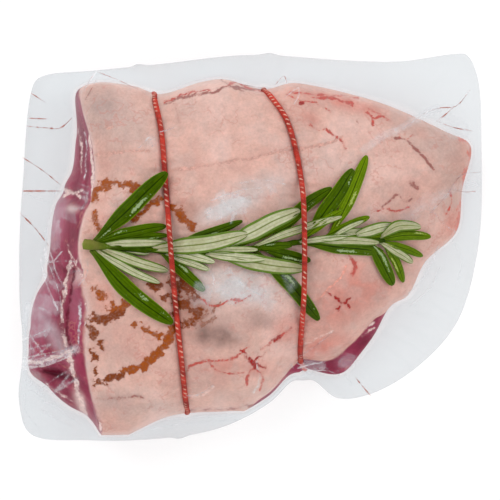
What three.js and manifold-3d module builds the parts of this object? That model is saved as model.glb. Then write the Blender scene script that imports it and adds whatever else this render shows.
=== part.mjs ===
// A raw lamb rump, tied with two loops of butcher's twine over a sprig of rosemary and sealed in a clear
// vacuum pack. Millimetres, +Z up. The pack lies on its flat underside, fat cap up, with the cut face of
// the meat towards -X, and the origin is the middle of its footprint on the table.
import * as THREE from 'three';
import { ParametricGeometry } from 'three/addons/geometries/ParametricGeometry.js';
import { mergeVertices } from 'three/addons/utils/BufferGeometryUtils.js';
import Module from 'manifold-3d';

const wasm = await Module();
wasm.setup();

const film = { thickness: 0.8, gap: 0.5, narrowestFlange: 2.4, edgeHeight: 6.5 };
const joint = {
  middle: [-4, 0], // the pole of every polar outline below
  // height of the crown along x
  crown: [[-62, 37], [-45, 41], [-25, 43.5], [0, 44], [25, 41], [45, 35.5], [62, 28.5], [76, 22]],
  shoulder: { roundness: 2.4, fall: 0.6 },
  shoulderInset: 1.2,
  girthHeight: 9.5,
  soleInset: 9,
  soleHeight: film.thickness + film.gap,
};
const twine = {
  radius: 1.05, clearance: 0.42, proud: 0.1, overSprig: 4.95, sunk: 0.12, biteDepth: 2.2, biteWidth: 5.5,
};
const stem = { cutRadius: 1.8, cutLength: 9, baseRadius: 1.05, tipRadius: 0.65, lift: 1.05 };
const leaf = {
  thickness: 0.85, lift: 1.1, layerStep: 0.6, pressedStep: 0.25, footOffset: 0.7, rootShare: 0.2,
};
const mesh = { around: 92, top: 8, side: 4, under: 3, flange: 2 }; // facets of the big forms

// Height of the fat cap's rim over the table, against the angle round the joint, in degrees.
const rimHeights = [
  [-20, 15], [0, 14], [24, 13], [60, 16], [90, 18], [120, 20], [135, 27], [155, 33.5], [180, 35],
  [205, 32], [222, 27], [236, 20], [255, 16], [285, 14], [320, 15], [340, 15], [380, 13],
];

// Edge of the fat cap, seen from above, anticlockwise from the thin end.
const capOutline = [
  [75.7, 35], [67.5, 39.5], [45.5, 49.2], [21.5, 55.3], [14, 56.2], [5, 54.3], [-9.5, 58], [-17.5, 57],
  [-31.5, 53], [-40, 55.5], [-53, 56], [-57.5, 52.5], [-53.2, 33], [-52.7, 22], [-57.8, 1.4], [-55, -22],
  [-55.7, -37], [-50.7, -64], [-47.4, -66.2], [-27.7, -58.4], [-7.5, -56.3], [2.7, -54.6], [15.1, -40.2],
  [17.5, -38.1], [26.8, -38.1], [47.8, -19.9], [53.9, -16.5], [60.1, -5.1], [71, 5.5], [72.9, 19.6],
];

// How far the lean meat reaches out past the cap at the joint's widest level, against the angle round the
// joint: most at the cut face, and a little where the shank was parted in front.
const leanReach = [
  [-60, 5], [-50, 7.2], [-42, 5.8], [-32, 4.2], [-21, 1], [-15, 0.6], [60, 0.5], [132, 1], [138, 4],
  [147, 8.5], [156, 9.8], [163, 12], [181, 11.3], [188, 14], [197, 20.5], [205, 24], [211, 24], [217, 17.5],
  [223, 11], [229, 3.5], [234, 1], [270, 0.6], [283, 2.6], [293, 3], [303, 6], [310, 7.2], [318, 5.8],
  [328, 4.2], [339, 1], [345, 0.6], [420, 0.5],
];

// Trimmed edge of the pack's film, with the nick in its front edge.
const packOutline = [
  [80, 33.4], [78.5, 59], [74.8, 66.4], [70.7, 66.7], [52, 64.2], [34.5, 64.5], [0, 66.5], [-31, 63.4],
  [-53.4, 61.2], [-71.3, 59.4], [-74.7, 57], [-78.6, 23.1], [-79.8, -13.1], [-78.6, -37], [-80, -53],
  [-76, -64.5], [-55.2, -66.8], [-24.1, -65.5], [-8, -61.8], [6.9, -53.8], [15.5, -46], [21.5, -46],
  [30, -52.2], [41.4, -51], [57.6, -41.7], [71.7, -25.9], [79, 0.3],
];

// Seams between the muscles of the cut face: angle round the joint, half width in degrees, depth in mm,
// and the level they are centred on, from 0 at the cap to 1 at the girth.
const muscleSeams = [
  { angle: 163, halfWidth: 2.6, depth: 2.4, level: 0.55, reach: 0.5 },
  { angle: 189, halfWidth: 2.4, depth: 3.0, level: 0.45, reach: 0.6 },
  { angle: 201, halfWidth: 1.8, depth: 1.8, level: 0.6, reach: 0.35 },
  { angle: 214.5, halfWidth: 3.2, depth: 5.5, level: 0.62, reach: 0.3 },
];

// Where each loop of twine crosses the fat cap, back edge to front edge, and the stretch that rides
// over the sprig.
const twineRoutes = {
  twine_left: {
    path: [[-33.3, 53.2], [-30.2, 39.7], [-28.7, 22.6], [-27, 2.4], [-25, -21.3], [-23.1, -40], [-21.6, -57]],
    sprig: [-17.5, 12],
  },
  twine_right: {
    path: [[4.8, 54.6], [12.2, 43.7], [15.9, 31.1], [17.9, 17.6], [18.4, 2.4], [18.3, -14.6], [16.9, -38.5]],
    sprig: [-27.5, 24.5],
  },
};

const stemPath = [
  [-57, 1], [-50.6, 0.3], [-33.8, -1], [-16.9, -1.7], [0, -0.7], [16.9, 1.7], [33.8, 3], [46.5, 2],
];

// The leaves of the sprig. at: distance of the leaf's foot from the cut end of the stem. tip: where it ends.
// layer: 0 lies on the fat and 3 on the leaves below it. bend: sideways bow as a share of its length.
// tipRise: how far its tip is lifted to lie over the twine.
const leafPlan = [
  [4, -27.9, 25.3, 6.1, 2.2, 0, 1.6], [4, -28.2, 7.1, 3.9, 1, 0.03], [5.5, -27.5, 4, 2.9, 0.4, 0.02],
  [5.5, -27.8, 1.5, 3.1, 2, 0.01], [5.5, -27.5, -8.1, 3.7, 2, -0.02], [4, -30.4, -12.2, 3, 1.6, -0.035],
  [3, -26, -26, 6.1, 2, -0.045], [7.5, -32.7, -0.9, 2.9, 0, 0.02], [12.5, -33.8, -2, 2.7, 0.3, 0],
  [28.5, -2.4, 8.8, 3.2, 1, 0], [21.5, -0.8, 4.4, 6.1, 3.2, -0.035], [27, -11.8, -5.1, 3.3, 2, 0.03],
  [27, -13.5, -7.8, 2.7, 1.2, 0], [27, -15.2, -14.9, 3.9, 0.5, 0.005], [41, 2.7, -0.9, 2.5, 2.6, 0.02],
  [40, 5.4, -3.9, 3.6, 2.4, -0.02], [44, 18.8, -7.4, 5.8, 2, -0.025], [47, 17, 12.6, 6.1, 2.6, 0.02],
  [51, 17.9, 11.5, 3.4, 1.6, 0], [57, 31.2, 10.3, 3, 3, 0.02], [59, 14.3, 0.5, 2.7, 1.8, 0.03],
  [61, 20.6, -4.7, 3.7, 1, 0], [58.5, 23.6, -25, 5, 0, 0.03], [64, 27.8, 20.2, 4.4, 0.4, 0.06],
  [75.5, 35.1, 26.6, 5.4, 1.6, -0.02], [84, 39.8, 31.3, 4.4, 0.6, -0.025], [74.5, 31.4, 12.5, 3.2, 2.2, 0.03],
  [82, 40.7, 10.3, 3, 1.3, 0.02], [84.5, 38.5, 8.9, 1.9, 3, 0.02], [91.5, 49.6, 7.4, 4.2, 2.3, 0.03],
  [101, 58.5, 6.9, 4.1, 3.4, 0.15], [101.5, 62.1, 3.6, 3.5, 1, 0.05], [77, 44, 1.5, 3.2, 2.7, 0.02],
  [74.5, 45.6, -1.7, 4.6, 1, 0], [102, 59.4, -3.2, 2.8, 1.6, 0.02], [101, 55.9, -5.4, 3.1, 2, 0.02],
  [97.5, 49, -13.2, 4.8, 1.2, 0.03], [102.5, 52.7, -12.2, 3.1, 0.6, 0.06], [72, 33.4, 3.7, 2.4, 3.1, 0],
  [82, 41.2, 5.9, 2.7, 1.6, 0.02], [83.5, 45.2, 4, 2.7, 0.8, 0],
].map(([at, x, y, width, layer, bend, tipRise = 0]) => ({ at, tip: [x, y], width, layer, bend, tipRise }));

const degrees = 180 / Math.PI;
const clamp01 = (value) => Math.min(1, Math.max(0, value));
const smoothstep = (value) => clamp01(value) ** 2 * (3 - 2 * clamp01(value));
const mix = (a, b, share) => a + (b - a) * share;
const bell = (distance, width) => Math.exp(-((distance / width) ** 2));

function splinePoints(points, closed, count = 1440) {
  const corners = points.map(([x, y]) => new THREE.Vector3(x, y, 0));
  return new THREE.CatmullRomCurve3(corners, closed, 'centripetal').getPoints(count);
}

// Reads y against x from a list of [x, y] pairs with rising x, straight between them.
function readRow(rows, x) {
  const next = rows.findIndex((row) => row[0] >= x);
  if (next <= 0) return next === 0 ? rows[0][1] : rows.at(-1)[1];
  const [[x0, y0], [x1, y1]] = [rows[next - 1], rows[next]];
  return mix(y0, y1, (x - x0) / (x1 - x0));
}

// The smooth function through a few [x, y] keys.
function smoothRow(keys) {
  const rows = splinePoints(keys, false, 240).map((p) => [p.x, p.y]);
  return (x) => readRow(rows, x);
}

// Distance from the joint's middle to an outline, as a function of the angle.
function polarRadius(outline) {
  const rows = splinePoints(outline, true)
    .map((p) => [p.x - joint.middle[0], p.y - joint.middle[1]])
    .map(([x, y]) => [(Math.atan2(y, x) * degrees + 360) % 360, Math.hypot(x, y)])
    .sort((a, b) => a[0] - b[0]);
  const first = rows[0];
  const last = rows.at(-1);
  const wrapped = [[last[0] - 360, last[1]], ...rows, [first[0] + 360, first[1]]];
  return (angle) => readRow(wrapped, ((angle % 360) + 360) % 360);
}

const reachPastCap = smoothRow(leanReach);
const packRadius = polarRadius(packOutline);
const capLine = polarRadius(capOutline);
const girthLine = (angle) => capLine(angle) + reachPastCap(((angle % 360) + 360) % 360);
const girthRadius = (angle) => Math.min(girthLine(angle), packRadius(angle) - film.narrowestFlange);
const capRadius = (angle) => Math.min(capLine(angle), girthRadius(angle) - joint.shoulderInset);
const rimHeight = smoothRow(rimHeights);
const crownHeight = smoothRow(joint.crown);

function polarPoint(angle, radius, height, target = new THREE.Vector3()) {
  const turn = angle / degrees;
  return target.set(
    joint.middle[0] + radius * Math.cos(turn),
    joint.middle[1] + radius * Math.sin(turn),
    height,
  );
}

const twineAcross = Object.values(twineRoutes).map((route) => {
  return smoothRow(route.path.map(([x, y]) => [-y, x]));
});

// How near a spot is to a loop of twine: 1 under it, falling to 0.
function underTwine(x, y, width) {
  return Math.max(...twineAcross.map((across) => bell(x - across(-y), width)));
}

// Height of the fat cap: a dome that falls to its rim, drawn in under each loop of twine.
function capHeight(x, y) {
  const dx = x - joint.middle[0];
  const dy = y - joint.middle[1];
  const angle = (Math.atan2(dy, dx) * degrees + 360) % 360;
  const share = Math.min(1, Math.hypot(dx, dy) / capRadius(angle));
  const { roundness, fall } = joint.shoulder;
  const rim = rimHeight(angle);
  const dome = mix(rim, crownHeight(x), (1 - share ** roundness) ** fall);
  return dome - twine.biteDepth * underTwine(x, y, twine.biteWidth) * (1 - share ** 6);
}

// Distance that the muscles of the cut face sink in along their seams.
function seamDepth(angle, level) {
  return muscleSeams.reduce((sum, seam) => {
    const near = bell(angle - seam.angle, seam.halfWidth) * bell(level - seam.level, seam.reach);
    return sum + seam.depth * near;
  }, 0);
}

// Side of the joint from the cap's rim, level 0, to the girth, level 1.
function sidePoint(angle, level, target) {
  const swell = Math.sin((Math.PI / 2) * level) ** 1.15;
  const radius = mix(capRadius(angle), girthRadius(angle), swell) - seamDepth(angle, level);
  return polarPoint(angle, radius, mix(rimHeight(angle), joint.girthHeight, level), target);
}

// Quarter round from the girth, turn 0, in to the edge of the flat sole, turn 1, moved out by a margin.
function underPoint(angle, turn, margin, target) {
  const quarter = (turn * Math.PI) / 2;
  const drop = joint.girthHeight - joint.soleHeight;
  const radius = girthRadius(angle) - joint.soleInset * (1 - Math.cos(quarter)) + margin * Math.cos(quarter);
  return polarPoint(angle, radius, joint.girthHeight - (drop + margin) * Math.sin(quarter), target);
}

// A closed body from a surface given over the unit square: its seam and poles are welded and the
// triangles that collapse there are dropped.
function weld(geometry) {
  geometry.deleteAttribute('normal');
  geometry.deleteAttribute('uv');
  const merged = mergeVertices(geometry, 1e-3);
  const corners = merged.index.array;
  const kept = [];
  for (let i = 0; i < corners.length; i += 3) {
    const [a, b, c] = corners.slice(i, i + 3);
    if (a !== b && b !== c && c !== a) kept.push(a, b, c);
  }
  merged.setIndex(kept);
  return merged;
}

function solidFrom(geometry) {
  const welded = weld(geometry);
  return new wasm.Manifold(new wasm.Mesh({
    numProp: 3,
    vertProperties: new Float32Array(welded.attributes.position.array),
    triVerts: new Uint32Array(welded.index.array),
  }));
}

function geometryFrom(solid) {
  const { vertProperties, triVerts } = solid.getMesh();
  const geometry = new THREE.BufferGeometry();
  geometry.setAttribute('position', new THREE.BufferAttribute(vertProperties, 3));
  geometry.setIndex(new THREE.BufferAttribute(triVerts, 1));
  geometry.computeVertexNormals();
  return geometry;
}

// Skins a list of ring functions, each angle to point, with a pole before the first and after the last.
function skinRings(firstPole, rings, lastPole) {
  const surface = (across, along, target) => {
    const row = Math.round(along * (rings.length + 1));
    if (row === 0) return target.copy(firstPole);
    if (row === rings.length + 1) return target.copy(lastPole);
    return rings[row - 1]((across % 1) * 360, target);
  };
  return new ParametricGeometry((u, v, target) => surface(1 - u, v, target), mesh.around, rings.length + 1);
}

const evenSteps = (count) => Array.from({ length: count }, (_, i) => (i + 1) / count);

function jointGeometry() {
  const [x, y] = joint.middle;
  const top = evenSteps(mesh.top).map((step) => (angle, target) => {
    polarPoint(angle, capRadius(angle) * step ** 0.8, 0, target);
    return target.setZ(capHeight(target.x, target.y));
  });
  const side = evenSteps(mesh.side).map((level) => (angle, target) => sidePoint(angle, level, target));
  const under = evenSteps(mesh.under).map((turn) => (angle, target) => underPoint(angle, turn, 0, target));
  const crown = new THREE.Vector3(x, y, capHeight(x, y));
  return skinRings(crown, [...top, ...side, ...under], new THREE.Vector3(x, y, joint.soleHeight));
}

// Height of the flange's upper face: it leaves the meat at its girth and waves down towards the trimmed edge.
function flangeHeight(angle, share) {
  const wave = 2.1 * Math.sin((2 * angle + 40) / degrees) + 1.1 * Math.sin((5 * angle - 60) / degrees);
  return mix(joint.girthHeight - 0.6, film.edgeHeight + wave, smoothstep(share));
}

// The pack's own film where it stands clear of the food: a shallow tray that cups the meat up to its
// girth, and the flat seal all round it.
function bagGeometry() {
  const outer = film.gap + film.thickness;
  const [x, y] = joint.middle;
  const flangeRing = (share, drop) => (angle, target) => {
    const inner = girthRadius(angle) + (drop ? outer : film.gap);
    return polarPoint(angle, mix(inner, packRadius(angle), share), flangeHeight(angle, share) - drop, target);
  };
  const cup = (turn, margin) => (angle, target) => underPoint(angle, turn, margin, target);
  const shares = [0, ...evenSteps(mesh.flange)];
  const turns = evenSteps(mesh.under);
  const rings = [
    ...turns.toReversed().map((turn) => cup(turn, film.gap)),
    ...shares.map((share) => flangeRing(share, 0)),
    ...shares.toReversed().map((share) => flangeRing(share, film.thickness)),
    ...turns.map((turn) => cup(turn, outer)),
  ];
  return skinRings(new THREE.Vector3(x, y, film.thickness), rings, new THREE.Vector3(x, y, 0));
}

// Centre line of one loop: over the cap, down one side, straight under the sole and up the other side.
function twineLoop({ path, sprig }) {
  const { radius, proud, overSprig } = twine;
  const sunk = radius + twine.sunk; // just below the meat's surface where the pack's tray passes it
  const crossing = splinePoints(path, false, 26).map((p) => {
    const overLeaves = smoothstep((p.y - sprig[0]) / 7) * smoothstep((sprig[1] - p.y) / 7);
    return new THREE.Vector3(p.x, p.y, capHeight(p.x, p.y) + mix(proud, overSprig, overLeaves));
  });
  const flank = ([x, y]) => {
    const angle = (Math.atan2(y - joint.middle[1], x - joint.middle[0]) * degrees + 360) % 360;
    const ahead = underPoint(angle + 1, 0, 0).sub(underPoint(angle - 1, 0, 0)).normalize();
    const inwards = new THREE.Vector3(-ahead.y, ahead.x, 0);
    const down = [0.25, 0.55, 0.85].map((level) => {
      return sidePoint(angle, level).addScaledVector(inwards, sunk * smoothstep((level - 0.25) / 0.6));
    });
    const round = [0.1, 0.35, 0.6, 0.85].map((turn) => {
      const quarter = (turn * Math.PI) / 2;
      const point = underPoint(angle, turn, 0).addScaledVector(inwards, sunk * Math.cos(quarter));
      return point.setZ(point.z + sunk * Math.sin(quarter));
    });
    return [...down, ...round];
  };
  const back = flank(path[0]);
  const front = flank(path.at(-1));
  const sole = evenSteps(5).slice(0, -1).map((share) => {
    return front.at(-1).clone().lerp(back.at(-1), share).setZ(joint.soleHeight + sunk);
  });
  const points = [...crossing.slice(1, -1), ...front, ...sole, ...back.toReversed()];
  return new THREE.CatmullRomCurve3(points, true, 'centripetal');
}

const tubeOn = (loop, radius) => new THREE.TubeGeometry(loop, 60, radius, 6, true);

const stemCurve = new THREE.CatmullRomCurve3(
  stemPath.map(([x, y]) => new THREE.Vector3(x, y, 0)), false, 'centripetal',
);
const stemLength = stemCurve.getLength();

// How far a leaf lies above the fat in its layer: closer under the twine.
const leafLift = (x, y, layer) => {
  return leaf.lift + layer * mix(leaf.layerStep, leaf.pressedStep, underTwine(x, y, 5));
};

// The stem at a share of its length: its middle on the fat, its direction, half its width and half its
// height, which is less where a loop of twine presses on it.
function stemAt(along) {
  const centre = stemCurve.getPointAt(along);
  const ahead = stemCurve.getTangentAt(along);
  const flare = (stem.cutRadius - stem.baseRadius) * (1 - smoothstep((along * stemLength) / stem.cutLength));
  const radius = mix(stem.baseRadius, stem.tipRadius, along) + flare;
  const halfHeight = radius * mix(1, 0.6, underTwine(centre.x, centre.y, 5));
  centre.setZ(capHeight(centre.x, centre.y) + stem.lift + halfHeight);
  return { centre, ahead, radius, halfHeight };
}

// Round stem, tapering to its tip, laid along the fat. Its ends close to a point.
function stemSolid() {
  const surface = (u, v, target) => {
    const { centre, ahead, radius, halfHeight } = stemAt(clamp01((v * 16 - 1) / 14));
    const closed = v === 0 || v === 1 ? 0 : 1;
    const sideways = Math.cos(u * 2 * Math.PI) * radius * closed;
    const up = Math.sin(u * 2 * Math.PI) * halfHeight * closed;
    target.set(centre.x - ahead.y * sideways, centre.y + ahead.x * sideways, centre.z + up);
  };
  return solidFrom(new ParametricGeometry(surface, 8, 16));
}

// Half width of a leaf along its length: it swells from a narrow foot and ends in a blunt, rounded tip.
function leafHalfWidth(share, width) {
  return (width / 2) * (0.3 + 0.7 * smoothstep(share / 0.45)) * Math.sqrt(1 - share ** 6);
}

// Where a leaf leaves the stem: in the stem's side that the leaf points to.
function leafFoot(at, tip) {
  const { centre, ahead, radius } = stemAt(at / stemLength);
  const reach = new THREE.Vector2(tip[0] - centre.x, tip[1] - centre.y).normalize();
  const sideways = ahead.x * reach.y - ahead.y * reach.x; // sine of the angle between leaf and stem
  const offset = leaf.footOffset * radius * Math.max(-1, Math.min(1, 2 * sideways));
  return new THREE.Vector3(centre.x - ahead.y * offset, centre.y + ahead.x * offset, centre.z);
}

// A thin leaf laid over the fat, raised on both sides of its midrib. Its two faces meet in a sharp edge and
// are split alike.
function leafSolid({ at, tip, width, layer, bend, tipRise }) {
  const foot = leafFoot(at, tip);
  const rootLift = foot.z - capHeight(foot.x, foot.y) - leaf.thickness / 2;
  const reach = new THREE.Vector2(tip[0] - foot.x, tip[1] - foot.y);
  const length = reach.length();
  const ahead = reach.clone().normalize();
  const lengthways = Math.max(3, Math.round(length / 6.8));
  const ridge = width > 4.2 ? [0, 1, 0.66, 1, 0] : [0, 1, 0];
  const across = ridge.length - 1;
  const surface = (u, v, target) => {
    const column = Math.round((1 - u) * across * 2) % (across * 2); // over the top and back underneath
    const onTop = column < across;
    const fromEdge = onTop ? column : across * 2 - column;
    const share = clamp01((v * (lengthways + 2) - 1) / lengthways);
    const along = mix(0.01, 0.985, 1 - (1 - share) ** 1.4); // closer rows towards the tip
    const closed = v === 0 || v === 1 ? 0 : 1;
    const bow = bend * length * Math.sin(Math.PI * along);
    const side = (fromEdge / across) * 2 - 1;
    const offset = bow + side * leafHalfWidth(along, width) * closed;
    const x = foot.x + ahead.x * length * along - ahead.y * offset;
    const y = foot.y + ahead.y * length * along + ahead.x * offset;
    const lift = mix(rootLift, leafLift(x, y, layer), smoothstep(along / leaf.rootShare))
      + tipRise * smoothstep((along - 0.7) / 0.2);
    const ridgeShare = closed ? ridge[fromEdge] * onTop : 0.4;
    target.set(x, y, capHeight(x, y) + lift + leaf.thickness * ridgeShare);
  };
  return solidFrom(new ParametricGeometry(surface, across * 2, lengthways + 2));
}

const looks = {
  lamb: new THREE.MeshStandardMaterial({ color: 0xd9ab9c, roughness: 0.45, metalness: 0 }),
  twine: new THREE.MeshStandardMaterial({ color: 0xc0392b, roughness: 0.8, metalness: 0 }),
  rosemary: new THREE.MeshStandardMaterial({ color: 0x5f7d2a, roughness: 0.5, metalness: 0 }),
  film: new THREE.MeshStandardMaterial({
    color: 0xe4e8ec, roughness: 0.15, metalness: 0, transparent: true, opacity: 0.35,
  }),
};

function namedMesh(name, geometry, material) {
  const made = new THREE.Mesh(geometry, material);
  made.name = name;
  return made;
}

const loops = Object.entries(twineRoutes).map(([name, route]) => ({ name, line: twineLoop(route) }));

function lambRump() {
  const grooved = loops.reduce(
    (meat, { line }) => meat.subtract(solidFrom(tubeOn(line, twine.radius + twine.clearance))),
    solidFrom(jointGeometry()),
  );
  return namedMesh('lamb_rump', geometryFrom(grooved), looks.lamb);
}

// The stem and its leaves in one body, without the tiny hollows that are shut in where leaves cross.
function rosemarySprig() {
  const fused = leafPlan.map(leafSolid).reduce((whole, one) => whole.add(one), stemSolid());
  const sprig = fused.decompose().reduce((outer, part) => (part.volume() > outer.volume() ? part : outer));
  return namedMesh('rosemary_sprig', geometryFrom(sprig), looks.rosemary);
}

const pack = new THREE.Group();
pack.add(lambRump());
for (const { name, line } of loops) {
  pack.add(namedMesh(name, weld(tubeOn(line, twine.radius)), looks.twine));
}
pack.add(rosemarySprig());
pack.add(namedMesh('vacuum_bag', weld(bagGeometry()), looks.film));

export default pack;
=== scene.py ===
import math

import bmesh
import bpy
import numpy as np
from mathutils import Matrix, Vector


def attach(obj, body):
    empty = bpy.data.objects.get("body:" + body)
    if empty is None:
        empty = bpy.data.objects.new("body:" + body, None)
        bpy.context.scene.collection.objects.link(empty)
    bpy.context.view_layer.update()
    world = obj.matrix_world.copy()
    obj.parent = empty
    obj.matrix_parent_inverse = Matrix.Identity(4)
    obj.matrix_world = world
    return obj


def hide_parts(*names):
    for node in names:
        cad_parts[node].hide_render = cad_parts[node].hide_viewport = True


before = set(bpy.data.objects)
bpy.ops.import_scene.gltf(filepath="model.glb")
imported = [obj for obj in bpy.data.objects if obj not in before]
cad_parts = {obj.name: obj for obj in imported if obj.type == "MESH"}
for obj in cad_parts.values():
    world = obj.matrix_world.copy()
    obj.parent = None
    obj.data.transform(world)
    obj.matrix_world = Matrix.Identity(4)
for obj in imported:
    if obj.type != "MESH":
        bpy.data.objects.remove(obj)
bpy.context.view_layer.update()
print("frame loaded")

# Shapes are worked out in millimetres and become metres when a mesh is made. Lists of marks give
# places as they show from straight above, in units of a picture 500 wide: see seenAt.
view = {
    "middle": (0, -1.03),   # what the camera stands over
    "height": 1500,
    "unit": 0.3448,         # size of a picture unit at the height below
    "unitHeight": 12,
}


def mix(a, b, share):
    return a + (b - a) * share


def smooth(value):
    # 3t^2 - 2t^3 between 0 and 1
    value = np.clip(value, 0, 1)
    return value * value * (3 - 2 * value)


def bell(distance, width):
    # e to the minus square of distance over width
    return np.exp(-(distance / width) ** 2)


def splinePoints(points, closed, perStretch=24):
    # centripetal Catmull-Rom: a cubic over each stretch, its end slopes weighted by the root of the spacing
    p = np.array(points, float)
    if closed:
        before, start, end, after = np.roll(p, 1, 0), p, np.roll(p, -1, 0), np.roll(p, -2, 0)
    else:
        p = np.vstack([2 * p[0] - p[1], p, 2 * p[-1] - p[-2]])
        before, start, end, after = p[:-3], p[1:-2], p[2:-1], p[3:]
    d0, d1, d2 = (np.sqrt(np.linalg.norm(b - a, axis=1))[:, None]
                  for a, b in ((before, start), (start, end), (end, after)))
    slopeA = ((start - before) / d0 - (end - before) / (d0 + d1) + (end - start) / d1) * d1
    slopeB = ((end - start) / d1 - (after - start) / (d1 + d2) + (after - end) / d2) * d1
    t = np.linspace(0, 1, perStretch, endpoint=False)[:, None, None]
    curve = ((2 * t ** 3 - 3 * t ** 2 + 1) * start + (t ** 3 - 2 * t ** 2 + t) * slopeA
             + (3 * t ** 2 - 2 * t ** 3) * end + (t ** 3 - t ** 2) * slopeB)
    curve = curve.transpose(1, 0, 2).reshape(-1, p.shape[1])
    return curve if closed else np.vstack([curve, p[-2]])


def smoothRow(keys):
    # the spline through a few (x, y) keys, read at any x
    row = splinePoints(keys, False)
    return lambda x: np.interp(x, row[:, 0], row[:, 1])


def evenSteps(points, count, closed=False):
    # points at equal steps along a dense line
    loop = np.vstack([points, points[:1]]) if closed else points
    along = np.concatenate([[0], np.cumsum(np.linalg.norm(np.diff(loop, axis=0), axis=1))])
    steps = np.linspace(0, along[-1], count, endpoint=not closed)
    return np.stack([np.interp(steps, along, column) for column in loop.T], 1), along[-1]


def softNoise(x, y, size, seed):
    # random heights from -1 to 1 on a square lattice, joined by smooth steps
    lattice = np.random.default_rng(seed).uniform(-1, 1, (256, 256))
    gx, gy = x / size, y / size
    ix, iy = np.floor(gx).astype(int), np.floor(gy).astype(int)
    fx, fy = smooth(gx - ix), smooth(gy - iy)
    a, b, c, d = (lattice[(ix + i) % 256, (iy + j) % 256] for i, j in ((0, 0), (1, 0), (0, 1), (1, 1)))
    return mix(mix(a, b, fx), mix(c, d, fx), fy)


def layeredNoise(x, y, size, seed, layers=4):
    # soft noise plus itself at half the size and half the height, again and again
    return sum(softNoise(x, y, size / 2 ** k, seed + k) / 2 ** k for k in range(layers)) / 1.5


def shards(x, y, size, seed):
    # flat patches: each point takes the random value, -1 to 1, of the nearest point of a jittered lattice
    draw = np.random.default_rng(seed)
    jitter, value = draw.uniform(0.1, 0.9, (2, 64, 64)), draw.uniform(-1, 1, (64, 64))
    least, nearest = np.full(x.shape, 9.0), np.zeros(x.shape)
    for i, j in ((i, j) for i in (-1, 0, 1) for j in (-1, 0, 1)):
        cellX, cellY = np.floor(x / size) + i, np.floor(y / size) + j
        at = cellX.astype(int) % 64, cellY.astype(int) % 64
        away = np.hypot(cellX + jitter[0][at] - x / size, cellY + jitter[1][at] - y / size)
        nearest = np.where(away < least, value[at], nearest)
        least = np.minimum(least, away)
    return nearest


def unitAt(z):
    # a picture unit shrinks with the distance to the camera
    return view["unit"] * (view["height"] - z) / (view["height"] - view["unitHeight"])


def seenAt(x, y, z):
    # where a point shows from above: its distance from the view's middle over the unit at its height
    unit = unitAt(z)
    return 250 + (x - view["middle"][0]) / unit, 250 - (y - view["middle"][1]) / unit


def placeOf(u, v, z):
    # the reverse of seenAt for a point of known height
    unit = unitAt(z)
    return view["middle"][0] + (u - 250) * unit, view["middle"][1] + (250 - v) * unit


def lineDistance(u, v, points):
    # least distance to the straight stretches of a line
    p = np.array(points, float)
    nearest = np.full(u.shape, 1e9)
    for (ax, ay), (bx, by) in zip(p[:-1], p[1:]):
        dx, dy = bx - ax, by - ay
        t = np.clip(((u - ax) * dx + (v - ay) * dy) / max(dx * dx + dy * dy, 1e-9), 0, 1)
        nearest = np.minimum(nearest, np.hypot(u - ax - t * dx, v - ay - t * dy))
    return nearest


def lineShare(u, v, points, width):
    # a bell of the distance to the smooth line through the points, worked out near the line only
    line = splinePoints(points, False, 6)
    share = np.zeros(u.shape)
    low, high = line.min(0) - 3 * width, line.max(0) + 3 * width
    near = np.flatnonzero((u > low[0]) & (u < high[0]) & (v > low[1]) & (v < high[1]))
    share[near] = bell(lineDistance(u[near], v[near], line), width)
    return share


def spotShare(u, v, cu, cv, halfU, halfV, turn):
    # a bell with a flat middle over a turned ellipse
    c, s = math.cos(math.radians(turn)), math.sin(math.radians(turn))
    du, dv = (u - cu) * c + (v - cv) * s, (v - cv) * c - (u - cu) * s
    return np.exp(-((du / halfU) ** 2 + (dv / halfV) ** 2) ** 1.3)


def linear(colour):
    # display values from 0 to 255 as a surface colour under this scene's light
    c = np.array(colour, float) / 255
    return np.where(c <= 0.04045, c / 12.92, ((c + 0.055) / 1.055) ** 2.4) / light["gain"]


def linearTints(tints):
    return {name: linear(colour) for name, colour in tints.items()}


light = {
    "sides": 0.93,                # light from the sides of the sky
    "zenith": 0.09,               # light from straight above, which is what level wet faces mirror
    "zenithEdge": (0.8, 0.96),    # height in the sky, from 0 to 1, where it darkens
    "skyColour": (0.975, 0.985, 1.0),
    "gain": 1.1,                  # what a white, level surface sends to the camera
    "lamps": [                    # place in metres, width in metres, watts
        ((-0.55, 0.62, 0.95), 0.7, 4.1),
        ((0.7, 0.35, 0.9), 0.6, 1.95),
        ((0.1, -0.8, 0.8), 0.6, 1.5),
    ],
    "floor": (0.3, 0.3, 0.3),
    "floorGlow": 0.73,            # keeps the white floor white under the pack's soft shadow
}


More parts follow.
